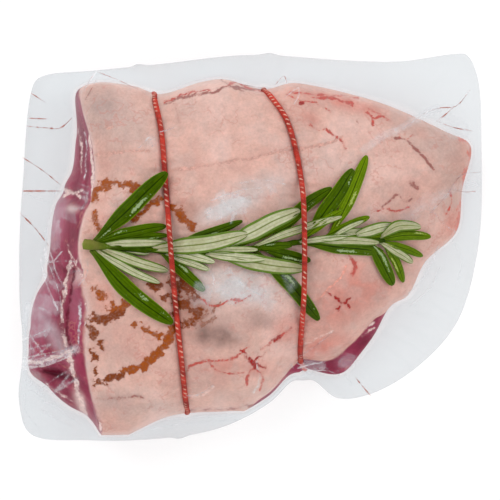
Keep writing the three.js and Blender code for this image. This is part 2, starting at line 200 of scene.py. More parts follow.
def buildStudio():
    # a white floor, a white sky, three soft lamps and a camera that looks straight down
    world = bpy.data.worlds.new("softSky")
    world.use_nodes = True
    tree = world.node_tree
    sky = tree.nodes["Background"]
    sky.inputs["Color"].default_value = (*light["skyColour"], 1)
    direction = addNode(tree, "ShaderNodeTexCoord").outputs["Generated"]
    height = addNode(tree, "ShaderNodeSeparateXYZ", _0=direction).outputs[2]
    low, high = light["zenithEdge"]
    strength = addNode(tree, "ShaderNodeMapRange", {"interpolation_type": "SMOOTHSTEP"}, _0=height,
                       _1=low, _2=high, _3=light["sides"], _4=light["zenith"]).outputs[0]
    tree.links.new(strength, sky.inputs["Strength"])
    scene = bpy.context.scene
    scene.world = world
    scene.view_settings.view_transform = "Standard"
    for number, (place, width, watts) in enumerate(light["lamps"]):
        lamp = bpy.data.lights.new(f"softLamp{number}", "AREA")
        lamp.size, lamp.energy = width, watts
        holder = bpy.data.objects.new(f"softLamp{number}", lamp)
        holder.location = place
        holder.rotation_euler = (-Vector(place)).to_track_quat("-Z", "Y").to_euler()
        scene.collection.objects.link(holder)
    camera = bpy.data.cameras.new("fromAbove")
    camera.sensor_width = 36
    camera.lens = 36 * (view["height"] - view["unitHeight"]) / (500 * view["unit"])
    holder = bpy.data.objects.new("fromAbove", camera)
    holder.location = (view["middle"][0] / 1000, view["middle"][1] / 1000, view["height"] / 1000)
    scene.collection.objects.link(holder)
    scene.camera = holder
    floor = makePiece("floor", np.array([(-900, -900, 0), (900, -900, 0), (900, 900, 0), (-900, 900, 0)]),
                      np.array([[0, 1, 2, 3]]))
    material, tree, surface = newMaterial("paleFloor")
    surface.inputs["Base Color"].default_value = (*light["floor"], 1)
    surface.inputs["Roughness"].default_value = 0.9
    surface.inputs["Emission Color"].default_value = (1, 1, 1, 1)
    surface.inputs["Emission Strength"].default_value = light["floorGlow"]
    floor.data.materials.append(material)
    print("camera, lights and floor ready")


def addNode(tree, kind, settings=None, **values):
    # one node: settings are its options, values are set on or linked to the inputs of that name
    node = tree.nodes.new(kind)
    for key, value in (settings or {}).items():
        setattr(node, key, value)
    for key, value in values.items():
        socket = node.inputs[int(key[1:])] if key[0] == "_" else node.inputs[key.replace("_", " ")]
        if isinstance(value, bpy.types.NodeSocket):
            tree.links.new(value, socket)
        else:
            socket.default_value = value
    return node


def newMaterial(name):
    material = bpy.data.materials.new(name)
    material.use_nodes = True
    tree = material.node_tree
    return material, tree, tree.nodes["Principled BSDF"]


def readAttribute(tree, name, colour=False):
    node = addNode(tree, "ShaderNodeAttribute", {"attribute_name": name})
    return node.outputs["Color" if colour else "Fac"]


def maths(tree, operation, a, b=0.0, c=0.0, clamp=False):
    node = addNode(tree, "ShaderNodeMath", {"operation": operation, "use_clamp": clamp}, _0=a, _1=b, _2=c)
    return node.outputs[0]


def blendColours(tree, share, a, b):
    node = addNode(tree, "ShaderNodeMix", {"data_type": "RGBA"})
    for socket, value in ((node.inputs[0], share), (node.inputs[6], a), (node.inputs[7], b)):
        if isinstance(value, bpy.types.NodeSocket):
            tree.links.new(value, socket)
        else:
            socket.default_value = value
    return node.outputs[2]


def newGroup(name, inputs, outputs):
    # a shader node group with named sockets: each is (name, kind, default)
    group = bpy.data.node_groups.new(name, "ShaderNodeTree")
    for side, sockets in (("INPUT", inputs), ("OUTPUT", outputs)):
        for label, kind, default in sockets:
            socket = group.interface.new_socket(name=label, in_out=side, socket_type="NodeSocket" + kind)
            if default is not None:
                socket.default_value = default
    start, end = group.nodes.new("NodeGroupInput"), group.nodes.new("NodeGroupOutput")
    return group, start.outputs, end.inputs


def buildMottleGroup():
    # brightens and darkens a colour by soft noise: colour * (1 + amount * noise), noise from -1 to 1
    group, given, result = newGroup(
        "mottle",
        [("Color", "Color", None), ("Scale", "Float", 300.0), ("Amount", "Float", 0.1),
         ("Stretch", "Vector", (1, 1, 1))],
        [("Color", "Color", None), ("Mask", "Float", None)])
    place = addNode(group, "ShaderNodeTexCoord").outputs["Object"]
    place = addNode(group, "ShaderNodeVectorMath", {"operation": "MULTIPLY"}, _0=place, _1=given["Stretch"])
    noise = addNode(group, "ShaderNodeTexNoise", Vector=place.outputs[0], Scale=given["Scale"],
                    Detail=5.0, Roughness=0.62)
    spread = addNode(group, "ShaderNodeMapRange", _0=noise.outputs["Fac"], _1=0.28, _2=0.72, _3=-1.0,
                     _4=1.0).outputs[0]
    factor = maths(group, "ADD", maths(group, "MULTIPLY", spread, given["Amount"]), 1.0)
    tinted = addNode(group, "ShaderNodeVectorMath", {"operation": "SCALE"}, _0=given["Color"], Scale=factor)
    group.links.new(tinted.outputs[0], result["Color"])
    group.links.new(maths(group, "MULTIPLY_ADD", spread, 0.5, 0.5), result["Mask"])
    return group


def buildReliefGroup():
    # a normal bent by fine noise
    group, given, result = newGroup(
        "fineRelief", [("Scale", "Float", 900.0), ("Depth", "Float", 0.0001)], [("Normal", "Vector", None)])
    place = addNode(group, "ShaderNodeTexCoord").outputs["Object"]
    noise = addNode(group, "ShaderNodeTexNoise", Vector=place, Scale=given["Scale"], Detail=4.0,
                    Roughness=0.6)
    bump = addNode(group, "ShaderNodeBump", Strength=1.0, Distance=given["Depth"],
                   Height=noise.outputs["Fac"])
    group.links.new(bump.outputs[0], result["Normal"])
    return group


def buildEdgeGroup():
    # a crisp, ragged mask from a soft field: a narrow step where the field plus noise passes a half
    group, given, result = newGroup(
        "raggedEdge",
        [("Field", "Float", 0.0), ("Scale", "Float", 900.0), ("Ragged", "Float", 1.5),
         ("Softness", "Float", 0.12)],
        [("Mask", "Float", None)])
    place = addNode(group, "ShaderNodeTexCoord").outputs["Object"]
    noise = addNode(group, "ShaderNodeTexNoise", Vector=place, Scale=given["Scale"], Detail=4.0,
                    Roughness=0.65)
    centred = maths(group, "SUBTRACT", noise.outputs["Fac"], 0.5)
    shifted = maths(group, "MULTIPLY_ADD", centred, given["Ragged"], given["Field"])
    low, high = maths(group, "SUBTRACT", 0.5, given["Softness"]), maths(group, "ADD", 0.5, given["Softness"])
    mask = addNode(group, "ShaderNodeMapRange", {"interpolation_type": "SMOOTHSTEP"}, _0=shifted, _1=low,
                   _2=high, _3=0.0, _4=1.0)
    group.links.new(mask.outputs[0], result["Mask"])
    return group


def buildThreadGroup():
    # thin wandering lines where a noise passes its middle value, kept in patches of a larger noise
    group, given, result = newGroup(
        "fineThreads",
        [("Scale", "Float", 90.0), ("Width", "Float", 0.012), ("Patches", "Float", 0.5)],
        [("Mask", "Float", None)])
    place = addNode(group, "ShaderNodeTexCoord").outputs["Object"]
    noise = addNode(group, "ShaderNodeTexNoise", Vector=place, Scale=given["Scale"], Detail=3.0,
                    Roughness=0.6)
    away = maths(group, "ABSOLUTE", maths(group, "SUBTRACT", noise.outputs["Fac"], 0.5))
    line = addNode(group, "ShaderNodeMapRange", _0=away, _1=0.0, _2=given["Width"], _3=1.0, _4=0.0)
    larger = addNode(group, "ShaderNodeTexNoise", Vector=place, Detail=3.0, Roughness=0.6,
                     Scale=maths(group, "MULTIPLY", given["Scale"], 0.7))
    patch = addNode(group, "ShaderNodeMapRange", _0=larger.outputs["Fac"], _1=given["Patches"],
                    _2=maths(group, "ADD", given["Patches"], 0.08), _3=0.0, _4=1.0)
    group.links.new(maths(group, "MULTIPLY", line.outputs[0], patch.outputs[0]), result["Mask"])
    return group


def placeGroup(tree, group, **values):
    return addNode(tree, "ShaderNodeGroup", {"node_tree": group}, **values)


joint = {
    "middle": (-4, 0),
    # height of the crown along the length: x, height
    "crown": [(-62, 37), (-45, 41), (-25, 43.5), (0, 44), (25, 41), (45, 35.5), (62, 28.5), (76, 22)],
    "roundness": 2.4, "fall": 0.6, "shoulderInset": 1.2,
    "girthHeight": 9.5, "soleInset": 9, "soleHeight": 1.3,
    # height of the cap's rim round the joint: degrees, height
    "rimHeights": [
        (-20, 15), (0, 14), (24, 13), (60, 16), (90, 18), (120, 20), (135, 27), (155, 33.5), (180, 35),
        (205, 32), (222, 27), (236, 20), (255, 16), (285, 14), (320, 15), (340, 15), (380, 13)],
    "capOutline": [
        (75.7, 35), (67.5, 39.5), (45.5, 49.2), (21.5, 55.3), (14, 56.2), (5, 54.3), (-9.5, 58),
        (-17.5, 57), (-31.5, 53), (-40, 55.5), (-53, 56), (-57.5, 52.5), (-53.2, 33), (-52.7, 22),
        (-57.8, 1.4), (-55, -22), (-55.7, -37), (-50.7, -64), (-47.4, -66.2), (-27.7, -58.4),
        (-7.5, -56.3), (2.7, -54.6), (15.1, -40.2), (17.5, -38.1), (26.8, -38.1), (47.8, -19.9),
        (53.9, -16.5), (60.1, -5.1), (71, 5.5), (72.9, 19.6)],
    # how far the lean stands out past the cap: degrees, reach
    "leanReach": [
        (-60, 5), (-50, 7.2), (-42, 5.8), (-32, 4.2), (-21, 1), (-15, 0.6), (60, 0.5), (132, 1), (138, 4),
        (147, 8.5), (156, 9.8), (163, 12), (181, 11.3), (188, 14), (197, 20.5), (205, 24), (211, 24),
        (217, 17.5), (223, 11), (229, 3.5), (234, 1), (270, 0.6), (283, 2.6), (293, 3), (303, 6),
        (310, 7.2), (318, 5.8), (328, 4.2), (339, 1), (345, 0.6), (420, 0.5)],
    # seams between the muscles of the cut face: degrees, half width, depth, level, reach
    "seams": [(163, 2.6, 2.4, 0.55, 0.5), (189, 2.4, 3.0, 0.45, 0.6), (201, 1.8, 1.8, 0.6, 0.35),
              (214.5, 3.2, 5.5, 0.62, 0.3)],
    "twineBite": (2.2, 5.5),      # depth and half width of the dip under each loop of twine
    "cells": 300,                 # across the mesh
}

pack = {
    "outline": [
        (80, 33.4), (78.5, 59), (74.8, 66.4), (70.7, 66.7), (52, 64.2), (34.5, 64.5), (0, 66.5),
        (-31, 63.4), (-53.4, 61.2), (-71.3, 59.4), (-74.7, 57), (-78.6, 23.1), (-79.8, -13.1), (-78.6, -37),
        (-80, -53), (-76, -64.5), (-55.2, -66.8), (-24.1, -65.5), (-8, -61.8), (6.9, -53.8),
        (15.5, -46), (21.5, -46), (30, -52.2), (41.4, -51), (57.6, -41.7), (71.7, -25.9), (79, 0.3)],
    "narrowestFlange": 2.4, "edgeHeight": 6.5,
    "edgeWaves": [(2.1, 2, 40), (1.1, 5, -60)],    # height, number round the edge, turn in degrees
    "gap": 0.35,                  # between the film and the meat
    "underMargin": 1.1,           # how far the under film stands off the meat
    "cells": 290,                 # across the upper film's mesh
    "mapCell": 0.6,               # of the height map that the film is stretched over
    "rounds": 26,                 # of stretching
}

twineRoutes = {
    "twineLeft": [(-33.3, 53.2), (-30.2, 39.7), (-28.7, 22.6), (-27, 2.4), (-25, -21.3), (-23.1, -40),
                  (-21.6, -57)],
    "twineRight": [(4.8, 54.6), (12.2, 43.7), (15.9, 31.1), (17.9, 17.6), (18.4, 2.4), (18.3, -14.6),
                   (16.9, -38.5)],
}


def polarRow(outline):
    # distance from the joint's middle to an outline, read at any angle in degrees
    x, y = (splinePoints(outline, True, 60) - joint["middle"]).T
    angle = np.degrees(np.arctan2(y, x)) % 360
    order = np.argsort(angle)
    return lambda a: np.interp(a, angle[order], np.hypot(x, y)[order], period=360)


capLine = polarRow(joint["capOutline"])
packLine = polarRow(pack["outline"])
reachPastCap = smoothRow(joint["leanReach"])
rimHeight = smoothRow(joint["rimHeights"])
crownHeight = smoothRow(joint["crown"])
twineAcross = {name: smoothRow([(-y, x) for x, y in route]) for name, route in twineRoutes.items()}


def girthRadius(angle):
    # the cap's radius plus the reach of the lean, kept inside the pack's edge
    reach = capLine(angle) + reachPastCap(np.asarray(angle) % 360)
    return np.minimum(reach, packLine(angle) - pack["narrowestFlange"])


def capRadius(angle):
    return np.minimum(capLine(angle), girthRadius(angle) - joint["shoulderInset"])


def polarOf(x, y):
    dx, dy = x - joint["middle"][0], y - joint["middle"][1]
    return np.degrees(np.arctan2(dy, dx)) % 360, np.hypot(dx, dy)


def twineDistance(x, y):
    # least distance to a loop of twine, measured across it
    return np.min([np.abs(x - across(-y)) for across in twineAcross.values()], axis=0)


def capHeight(x, y):
    # rim height plus (1 - share^a)^b of the way to the crown, less a bell along each loop of twine
    angle, radius = polarOf(x, y)
    share = np.minimum(1, radius / capRadius(angle))
    depth, width = joint["twineBite"]
    dome = mix(rimHeight(angle), crownHeight(x), (1 - share ** joint["roundness"]) ** joint["fall"])
    return dome - depth * bell(twineDistance(x, y), width) * (1 - share ** 6)


def seamDepth(angle, level):
    # sum of bells round and down the cut face
    return sum(depth * bell(angle - at, width) * bell(level - middle, reach)
               for at, width, depth, middle, reach in joint["seams"])


def jointSurface(angle, reach, seams=1.0, margin=0.0):
    # reach 0 to 1 crosses the cap to its rim, 1 to 2 swells down the side as a sine, 2 to 3 rounds under it
    angle = angle % 360
    level, quarter = np.clip(reach - 1, 0, 1), np.clip(reach - 2, 0, 1) * math.pi / 2
    swell = np.sin(math.pi / 2 * level) ** 1.15
    radius = mix(capRadius(angle), girthRadius(angle), swell) - seams * seamDepth(angle, level)
    radius = np.where(reach <= 1, capRadius(angle) * np.clip(reach, 0, 1), radius)
    radius = radius - joint["soleInset"] * (1 - np.cos(quarter))
    radius = radius + margin * smooth(level * 3) * np.cos(quarter)
    turn = np.radians(angle)
    x, y = joint["middle"][0] + radius * np.cos(turn), joint["middle"][1] + radius * np.sin(turn)
    drop = (joint["girthHeight"] - joint["soleHeight"] + margin) * np.sin(quarter)
    side = mix(rimHeight(angle), joint["girthHeight"], level) + margin * (1 - level) - drop
    return x, y, np.where(reach <= 1, capHeight(x, y) + margin, side)


def flangeHeight(angle, share):
    # leaves the meat at its girth and waves down towards the pack's edge
    wave = sum(height * np.sin(np.radians(number * angle + turn))
               for height, number, turn in pack["edgeWaves"])
    return mix(joint["girthHeight"] - 0.6, pack["edgeHeight"] + wave, smooth(share))


def discGrid(cells):
    # a square grid bent into a disc, each square ring a round one: angle, share of the radius, faces, edge
    a, b = np.meshgrid(np.linspace(-1, 1, cells + 1), np.linspace(-1, 1, cells + 1), indexing="ij")
    a, b = a.ravel(), b.ravel()
    wide = np.abs(a) > np.abs(b)
    safeA, safeB = np.where(a == 0, 1, a), np.where(b == 0, 1, b)
    turn = np.where(wide, math.pi / 4 * b / safeA + np.where(a < 0, math.pi, 0),
                    math.pi / 2 - math.pi / 4 * a / safeB + np.where(b < 0, math.pi, 0))
    index = np.arange((cells + 1) ** 2).reshape(cells + 1, cells + 1)
    faces = np.stack([index[:-1, :-1], index[1:, :-1], index[1:, 1:], index[:-1, 1:]], -1).reshape(-1, 4)
    edge = np.concatenate([index[:-1, 0], index[-1, :-1], index[:0:-1, -1], index[0, :0:-1]])
    return np.degrees(turn) % 360, np.maximum(np.abs(a), np.abs(b)), faces, edge


def closeBelow(edge, topCount, rings, height):
    # carries the edge of a disc with topCount points on through rings to one point under the joint
    below = np.vstack(rings + [[(*joint["middle"], height)]])
    loops = [edge] + [topCount + k * len(edge) + np.arange(len(edge)) for k in range(len(rings))]
    bands = [np.stack([a, b, np.roll(b, -1), np.roll(a, -1)], 1) for a, b in zip(loops, loops[1:])]
    fan = np.stack([loops[-1], np.full(len(edge), topCount + len(below) - 1), np.roll(loops[-1], -1)], 1)
    return below, bands, fan


def makePiece(name, points, faces, attributes=None, weld=False):
    # points in millimetres, faces as rows of corner numbers: one array, or one of quads and one of triangles
    mesh = bpy.data.meshes.new(name)
    faces = faces if isinstance(faces, list) else [faces]
    corners = np.concatenate([f.ravel() for f in faces]).astype(np.int32)
    sizes = np.concatenate([np.full(len(f), f.shape[1]) for f in faces])
    starts = np.concatenate([[0], np.cumsum(sizes)[:-1]]).astype(np.int32)
    mesh.vertices.add(len(points))
    mesh.vertices.foreach_set("co", (np.asarray(points) * 0.001).astype(np.float32).ravel())
    mesh.loops.add(len(corners))
    mesh.loops.foreach_set("vertex_index", corners)
    mesh.polygons.add(len(sizes))
    mesh.polygons.foreach_set("loop_start", starts)
    mesh.polygons.foreach_set("use_smooth", np.ones(len(sizes), bool))
    mesh.update(calc_edges=True)
    for key, values in (attributes or {}).items():
        values = np.asarray(values, np.float32)
        if values.ndim == 2:
            colours = np.hstack([values, np.ones((len(values), 1), np.float32)])
            mesh.attributes.new(key, "FLOAT_COLOR", "POINT").data.foreach_set("color", colours.ravel())
        else:
            mesh.attributes.new(key, "FLOAT", "POINT").data.foreach_set("value", values)
    if weld:    # joins the points that share a place at the poles
        shape = bmesh.new()
        shape.from_mesh(mesh)
        bmesh.ops.remove_doubles(shape, verts=shape.verts, dist=1e-7)
        shape.to_mesh(mesh)
        shape.free()
    mesh.validate()
    piece = bpy.data.objects.new(name, mesh)
    bpy.context.scene.collection.objects.link(piece)
    return piece


def finishPiece(piece, material, slot, *nodes):
    piece.data.materials.append(material)
    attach(piece, "root")
    if nodes:
        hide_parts(*nodes)
    print(piece.name, "made,", sum(len(p.vertices) - 2 for p in piece.data.polygons), "triangles")


def gridFaces(rows, columns, closedRows=False, closedColumns=False):
    # quads of a grid of rows by columns, joined round where it is closed
    i = np.arange(rows if closedRows else rows - 1)[:, None]
    j = np.arange(columns if closedColumns else columns - 1)[None]
    at = lambda r, c: (r % rows) * columns + c % columns
    return np.stack([at(i, j), at(i, j + 1), at(i + 1, j + 1), at(i + 1, j)], -1).reshape(-1, 4)


meatTints = {
    "fat": (223, 178, 164), "grey": (189, 161, 153), "rose": (211, 163, 150), "cream": (229, 191, 180),
    "frost": (214, 203, 200), "ash": (201, 172, 162), "red": (206, 118, 103), "bruise": (138, 106, 97),
    "umber": (150, 98, 80), "coral": (227, 158, 142), "stampBrown": (126, 54, 0),
    "stampRust": (156, 74, 6), "blood": (156, 24, 20), "thinBlood": (190, 80, 70), "vein": (158, 98, 90),
    "veinling": (200, 128, 116),
    "lean": (157, 48, 79), "leanDeep": (102, 10, 38), "leanPale": (184, 116, 135),
    "membrane": (228, 198, 192), "silver": (206, 196, 200),
}

# Soft spots on the fat: tint, strength, place, half widths, turn in degrees.
fatSpots = [
    ("grey", 0.95, 103, 110, 30, 26, 0), ("ash", 0.6, 130, 132, 26, 18, 0),
    ("rose", 0.7, 112, 166, 24, 16, 0), ("ash", 0.5, 186, 110, 14, 14, 0),
    ("cream", 0.5, 222, 108, 26, 10, 0), ("frost", 0.4, 262, 182, 34, 10, -10),
    ("frost", 0.95, 232, 206, 38, 12, -22), ("ash", 0.6, 285, 196, 14, 14, 0),
    ("cream", 0.7, 362, 128, 30, 12, 20), ("ash", 0.7, 402, 122, 26, 11, 22),
    ("frost", 0.25, 322, 166, 26, 12, -10), ("cream", 0.6, 392, 168, 34, 18, 10),
    ("grey", 0.7, 440, 142, 28, 18, 25), ("ash", 0.6, 452, 190, 14, 26, 10),
    ("cream", 0.5, 430, 222, 16, 12, 0), ("grey", 0.8, 112, 401, 22, 10, -8),
    ("ash", 0.7, 148, 408, 30, 8, -8), ("umber", 0.8, 194, 302, 22, 22, 20),
    ("bruise", 0.95, 216, 335, 26, 12, 8), ("frost", 0.95, 242, 288, 42, 20, 0),
    ("bruise", 0.45, 260, 321, 15, 8, 0), ("grey", 0.5, 238, 318, 34, 12, 0),
    ("rose", 0.9, 212, 376, 28, 14, -10),
    ("ash", 0.4, 242, 394, 30, 8, -6), ("red", 0.5, 288, 330, 16, 14, -25),
    ("coral", 0.7, 352, 276, 17, 17, 0), ("red", 0.9, 346, 309, 28, 13, -35),
    ("red", 0.7, 374, 292, 22, 8, -35), ("red", 1.0, 322, 346, 27, 10, -25),
    ("cream", 0.5, 296, 354, 12, 9, 0), ("coral", 0.5, 320, 100, 50, 6, 12),
    ("red", 0.45, 309, 120, 9, 7, 20), ("rose", 0.5, 462, 150, 9, 20, 0),
    ("red", 0.4, 452, 222, 8, 16, 20), ("rose", 0.4, 270, 150, 26, 6, -12),
    ("coral", 0.4, 104, 230, 11, 28, 0), ("coral", 0.5, 104, 296, 10, 18, 0),
    ("rose", 0.4, 310, 262, 12, 12, 0), ("umber", 0.4, 188, 212, 14, 14, 30),
    ("rose", 0.5, 415, 186, 16, 12, 0), ("frost", 0.4, 205, 275, 20, 12, 0),
    ("rose", 0.6, 300, 385, 20, 10, 0), ("red", 0.35, 220, 366, 26, 7, -8),
    ("red", 0.5, 258, 368, 12, 10, 0), ("rose", 0.6, 330, 105, 34, 9, 14),
    ("rose", 0.8, 345, 310, 42, 22, -35), ("red", 0.55, 340, 298, 42, 20, -35),
    ("rose", 0.55, 402, 205, 34, 18, 0), ("umber", 0.22, 452, 165, 15, 32, 0),
    ("red", 0.45, 345, 103, 46, 6, 14), ("rose", 0.7, 405, 127, 30, 6, 22),
]

# Veins and creases of the fat: tint, strength, half width, depth in mm, points.
fatLines = [
    ("vein", 0.75, 1.0, 0.35, [(165, 104), (187, 96), (215, 92), (227, 85), (250, 90), (262, 88)]),
    ("thinBlood", 0.7, 0.8, 0.1, [(165, 102), (186, 94), (210, 90)]),
    ("vein", 0.7, 0.9, 0.2, [(222, 79), (232, 86), (244, 92)]),
    ("thinBlood", 0.7, 0.8, 0.1, [(224, 86), (236, 81), (247, 88), (262, 91)]),
    ("rose", 0.8, 1.3, 0.2, [(95, 155), (118, 152), (150, 152)]),
    ("rose", 0.9, 1.5, 0.25, [
     (175, 171), (210, 165), (240, 160), (260, 156), (282, 152), (320, 146), (342, 137)]),
    ("vein", 0.6, 1.1, 0.2, [(262, 156), (285, 151), (320, 147)]),
    ("thinBlood", 0.8, 1.3, 0.1, [(326, 129), (334, 136), (340, 139), (345, 148)]),
    ("thinBlood", 0.7, 1.2, 0.1, [(312, 98), (335, 99), (352, 104)]),
    ("thinBlood", 0.5, 1.6, 0.1, [(290, 92), (320, 95), (358, 98)]),
    ("thinBlood", 0.8, 1.3, 0.1, [(367, 112), (372, 117), (374, 125)]),
    ("thinBlood", 0.7, 1.1, 0.1, [(375, 118), (385, 115)]),
    ("blood", 0.8, 1.8, 0.1, [(299, 103), (302, 103)]),
    ("thinBlood", 0.6, 1.4, 0.1, [(348, 100), (352, 106)]),
    ("vein", 0.9, 0.9, 0.1, [(395, 138), (404, 139), (412, 144), (420, 153), (427, 162), (433, 171)]),
    ("thinBlood", 0.6, 0.9, 0.1, [(400, 137), (407, 139), (413, 136)]),
    ("vein", 0.7, 0.9, 0.1, [(384, 207), (391, 201), (399, 196), (405, 202), (411, 199)]),
    ("vein", 0.6, 2.4, 0.1, [(411, 183), (417, 187)]),
    ("vein", 0.5, 1.2, 0.1, [(356, 120), (360, 128), (357, 133)]),
    ("red", 0.7, 2.6, 0.2, [(461, 137), (470, 144), (465, 175), (461, 205), (456, 229)]),
    ("thinBlood", 0.7, 1.0, 0.15, [(202, 300), (209, 305), (220, 305), (227, 301), (242, 300)]),
    ("thinBlood", 0.6, 1.4, 0.1, [(236, 303), (250, 296)]),
    ("blood", 0.85, 2.2, 0.2, [(247, 357), (253, 361), (256, 367)]),
    ("blood", 0.7, 1.2, 0.1, [(243, 354), (250, 358), (262, 366), (266, 368)]),
    ("thinBlood", 0.7, 0.9, 0.15, [(255, 366), (249, 374), (246, 386)]),
    ("blood", 0.75, 2.0, 0.1, [(273, 341), (279, 336)]),
    ("thinBlood", 0.7, 1.4, 0.1, [(262, 348), (271, 343), (281, 335), (292, 328)]),
    ("thinBlood", 0.66, 1.5, 0.1, [(183, 377), (190, 367), (204, 362), (226, 360), (240, 354), (250, 346)]),
    ("blood", 0.7, 0.9, 0.1, [(252, 360), (245, 352), (240, 350)]),
    ("blood", 0.66, 0.8, 0.1, [(253, 361), (262, 356), (269, 349)]),
    ("thinBlood", 0.66, 0.8, 0.1, [(256, 366), (262, 378), (259, 390)]),
    ("thinBlood", 0.6, 0.8, 0.1, [(208, 362), (216, 370), (230, 374), (244, 372)]),
    ("thinBlood", 0.6, 0.8, 0.1, [(286, 94), (300, 101), (316, 104), (330, 112)]),
    ("thinBlood", 0.6, 0.8, 0.1, [(309, 124), (318, 130), (326, 129)]),
    ("thinBlood", 0.6, 0.9, 0.1, [(364, 108), (378, 113), (390, 120)]),
    ("thinBlood", 0.55, 0.8, 0.1, [(372, 214), (386, 209), (398, 212), (409, 208)]),
    ("thinBlood", 0.6, 0.8, 0.1, [(446, 214), (452, 204), (450, 190)]),
    ("blood", 0.85, 1.3, 0.1, [(336, 297), (340, 300), (344, 303), (349, 299)]),
    ("blood", 0.85, 1.2, 0.1, [(338, 309), (342, 304)]),
    ("blood", 0.8, 1.2, 0.1, [(349, 308), (346, 302)]),
    ("blood", 0.7, 1.0, 0.1, [(328, 292), (331, 296)]),
    ("coral", 0.8, 1.2, 0.2, [(318, 301), (330, 289), (341, 276), (347, 265)]),
    ("thinBlood", 0.6, 2.4, 0.0, [(349, 256), (356, 266), (352, 276)]),
    ("cream", 0.8, 1.1, 0.2, [(286, 350), (305, 344), (318, 338), (333, 331)]),
    ("vein", 0.5, 1.3, 0.5, [(95, 399), (118, 399), (140, 397), (150, 401), (149, 408), (145, 413)]),
    ("cream", 0.7, 1.0, 0.2, [(186, 396), (200, 395), (212, 387)]),
    ("vein", 0.6, 1.6, 0.1, [(186, 411), (225, 409), (258, 405)]),
    ("vein", 0.35, 1.2, 0.3, [(160, 105), (172, 102), (180, 128)]),
    ("frost", 0.55, 0.7, 0.2, [(258, 362), (260, 380), (252, 393)]),
    ("rose", 0.5, 1.5, 0.1, [(96, 126), (112, 128), (126, 118)]),
    ("thinBlood", 0.35, 1.4, 0.0, [(268, 108), (272, 112)]),
]

# The faded inspection mark, only a broken ring of smudges: tint, strength, half width, points.
stampLines = [
    ("stampRust", 0.85, 6.0, [(94, 196), (101, 189), (116, 184), (128, 187), (137, 190)]),
    ("stampBrown", 0.75, 2.6, [(96, 193), (104, 187), (118, 186), (132, 189)]),
    ("stampRust", 0.66, 3.8, [(96, 212), (95, 222), (99, 230)]),
    ("stampRust", 0.75, 3.8, [(136, 220), (147, 209), (158, 200), (163, 197)]),
    ("stampBrown", 0.68, 2.4, [(140, 214), (150, 206)]),
    ("stampRust", 0.78, 5.2, [(171, 204), (178, 210), (186, 220), (195, 229)]),
    ("stampRust", 0.9, 4.4, [(173, 330), (166, 343), (155, 355), (143, 366), (127, 371)]),
    ("stampBrown", 0.72, 2.6, [(170, 336), (158, 350), (146, 361)]),
    ("stampBrown", 0.9, 3.2, [(111, 379), (123, 376)]),
    ("stampBrown", 0.9, 3.4, [(94, 381), (107, 382)]),
    ("stampBrown", 0.8, 3.0, [(94, 368), (95, 374)]),
    ("stampBrown", 0.85, 3.6, [(92, 350), (94, 358)]),
    ("stampBrown", 0.75, 4.0, [(90, 328), (95, 336), (102, 345)]),
    ("stampRust", 0.85, 3.6, [(136, 325), (148, 330), (160, 336)]),
    ("stampBrown", 0.8, 4.4, [(91, 318), (101, 319), (113, 318), (121, 313)]),
    ("stampRust", 0.8, 3.8, [(104, 312), (117, 309), (127, 303)]),
    ("stampRust", 0.7, 5.5, [(96, 290), (104, 297), (112, 302)]),
    ("stampBrown", 0.75, 5.0, [(152, 284), (160, 290), (164, 297)]),
    ("stampBrown", 0.85, 7.0, [(176, 280), (188, 284), (197, 296)]),
    ("stampBrown", 0.75, 6.0, [(176, 300), (188, 306), (198, 312)]),
    ("stampBrown", 0.66, 6.0, [(174, 318), (184, 324), (192, 320)]),
    ("umber", 0.62, 2.6, [(196, 322), (206, 314), (218, 304)]),
    ("umber", 0.6, 2.0, [(190, 326), (204, 324), (214, 318)]),
]

# The lean that shows past the fat, marked in the same way.
leanSpots = [
    # the deep spot at 57, 373 is painted shade in the hollow below the pale fold band
    ("leanPale", 0.75, 40, 312, 15, 34, 12), ("leanDeep", 0.95, 57, 373, 17, 6, 12),
    ("leanPale", 0.7, 58, 222, 7, 24, 8), ("membrane", 0.85, 73, 209, 6, 5, 0),
    ("membrane", 0.7, 78, 278, 6, 9, 25), ("leanDeep", 0.5, 74, 235, 6, 14, 0),
    ("leanDeep", 0.4, 84, 145, 5, 26, -5), ("leanPale", 0.4, 76, 305, 7, 22, 0),
    ("membrane", 0.8, 80, 402, 5, 12, -25), ("leanPale", 0.6, 346, 362, 9, 8, 0),
    ("leanDeep", 0.5, 362, 345, 8, 14, 35), ("silver", 0.5, 56, 338, 8, 20, -30),
    ("leanDeep", 0.4, 270, 397, 12, 6, -20), ("membrane", 0.35, 33, 378, 10, 6, 0),
]

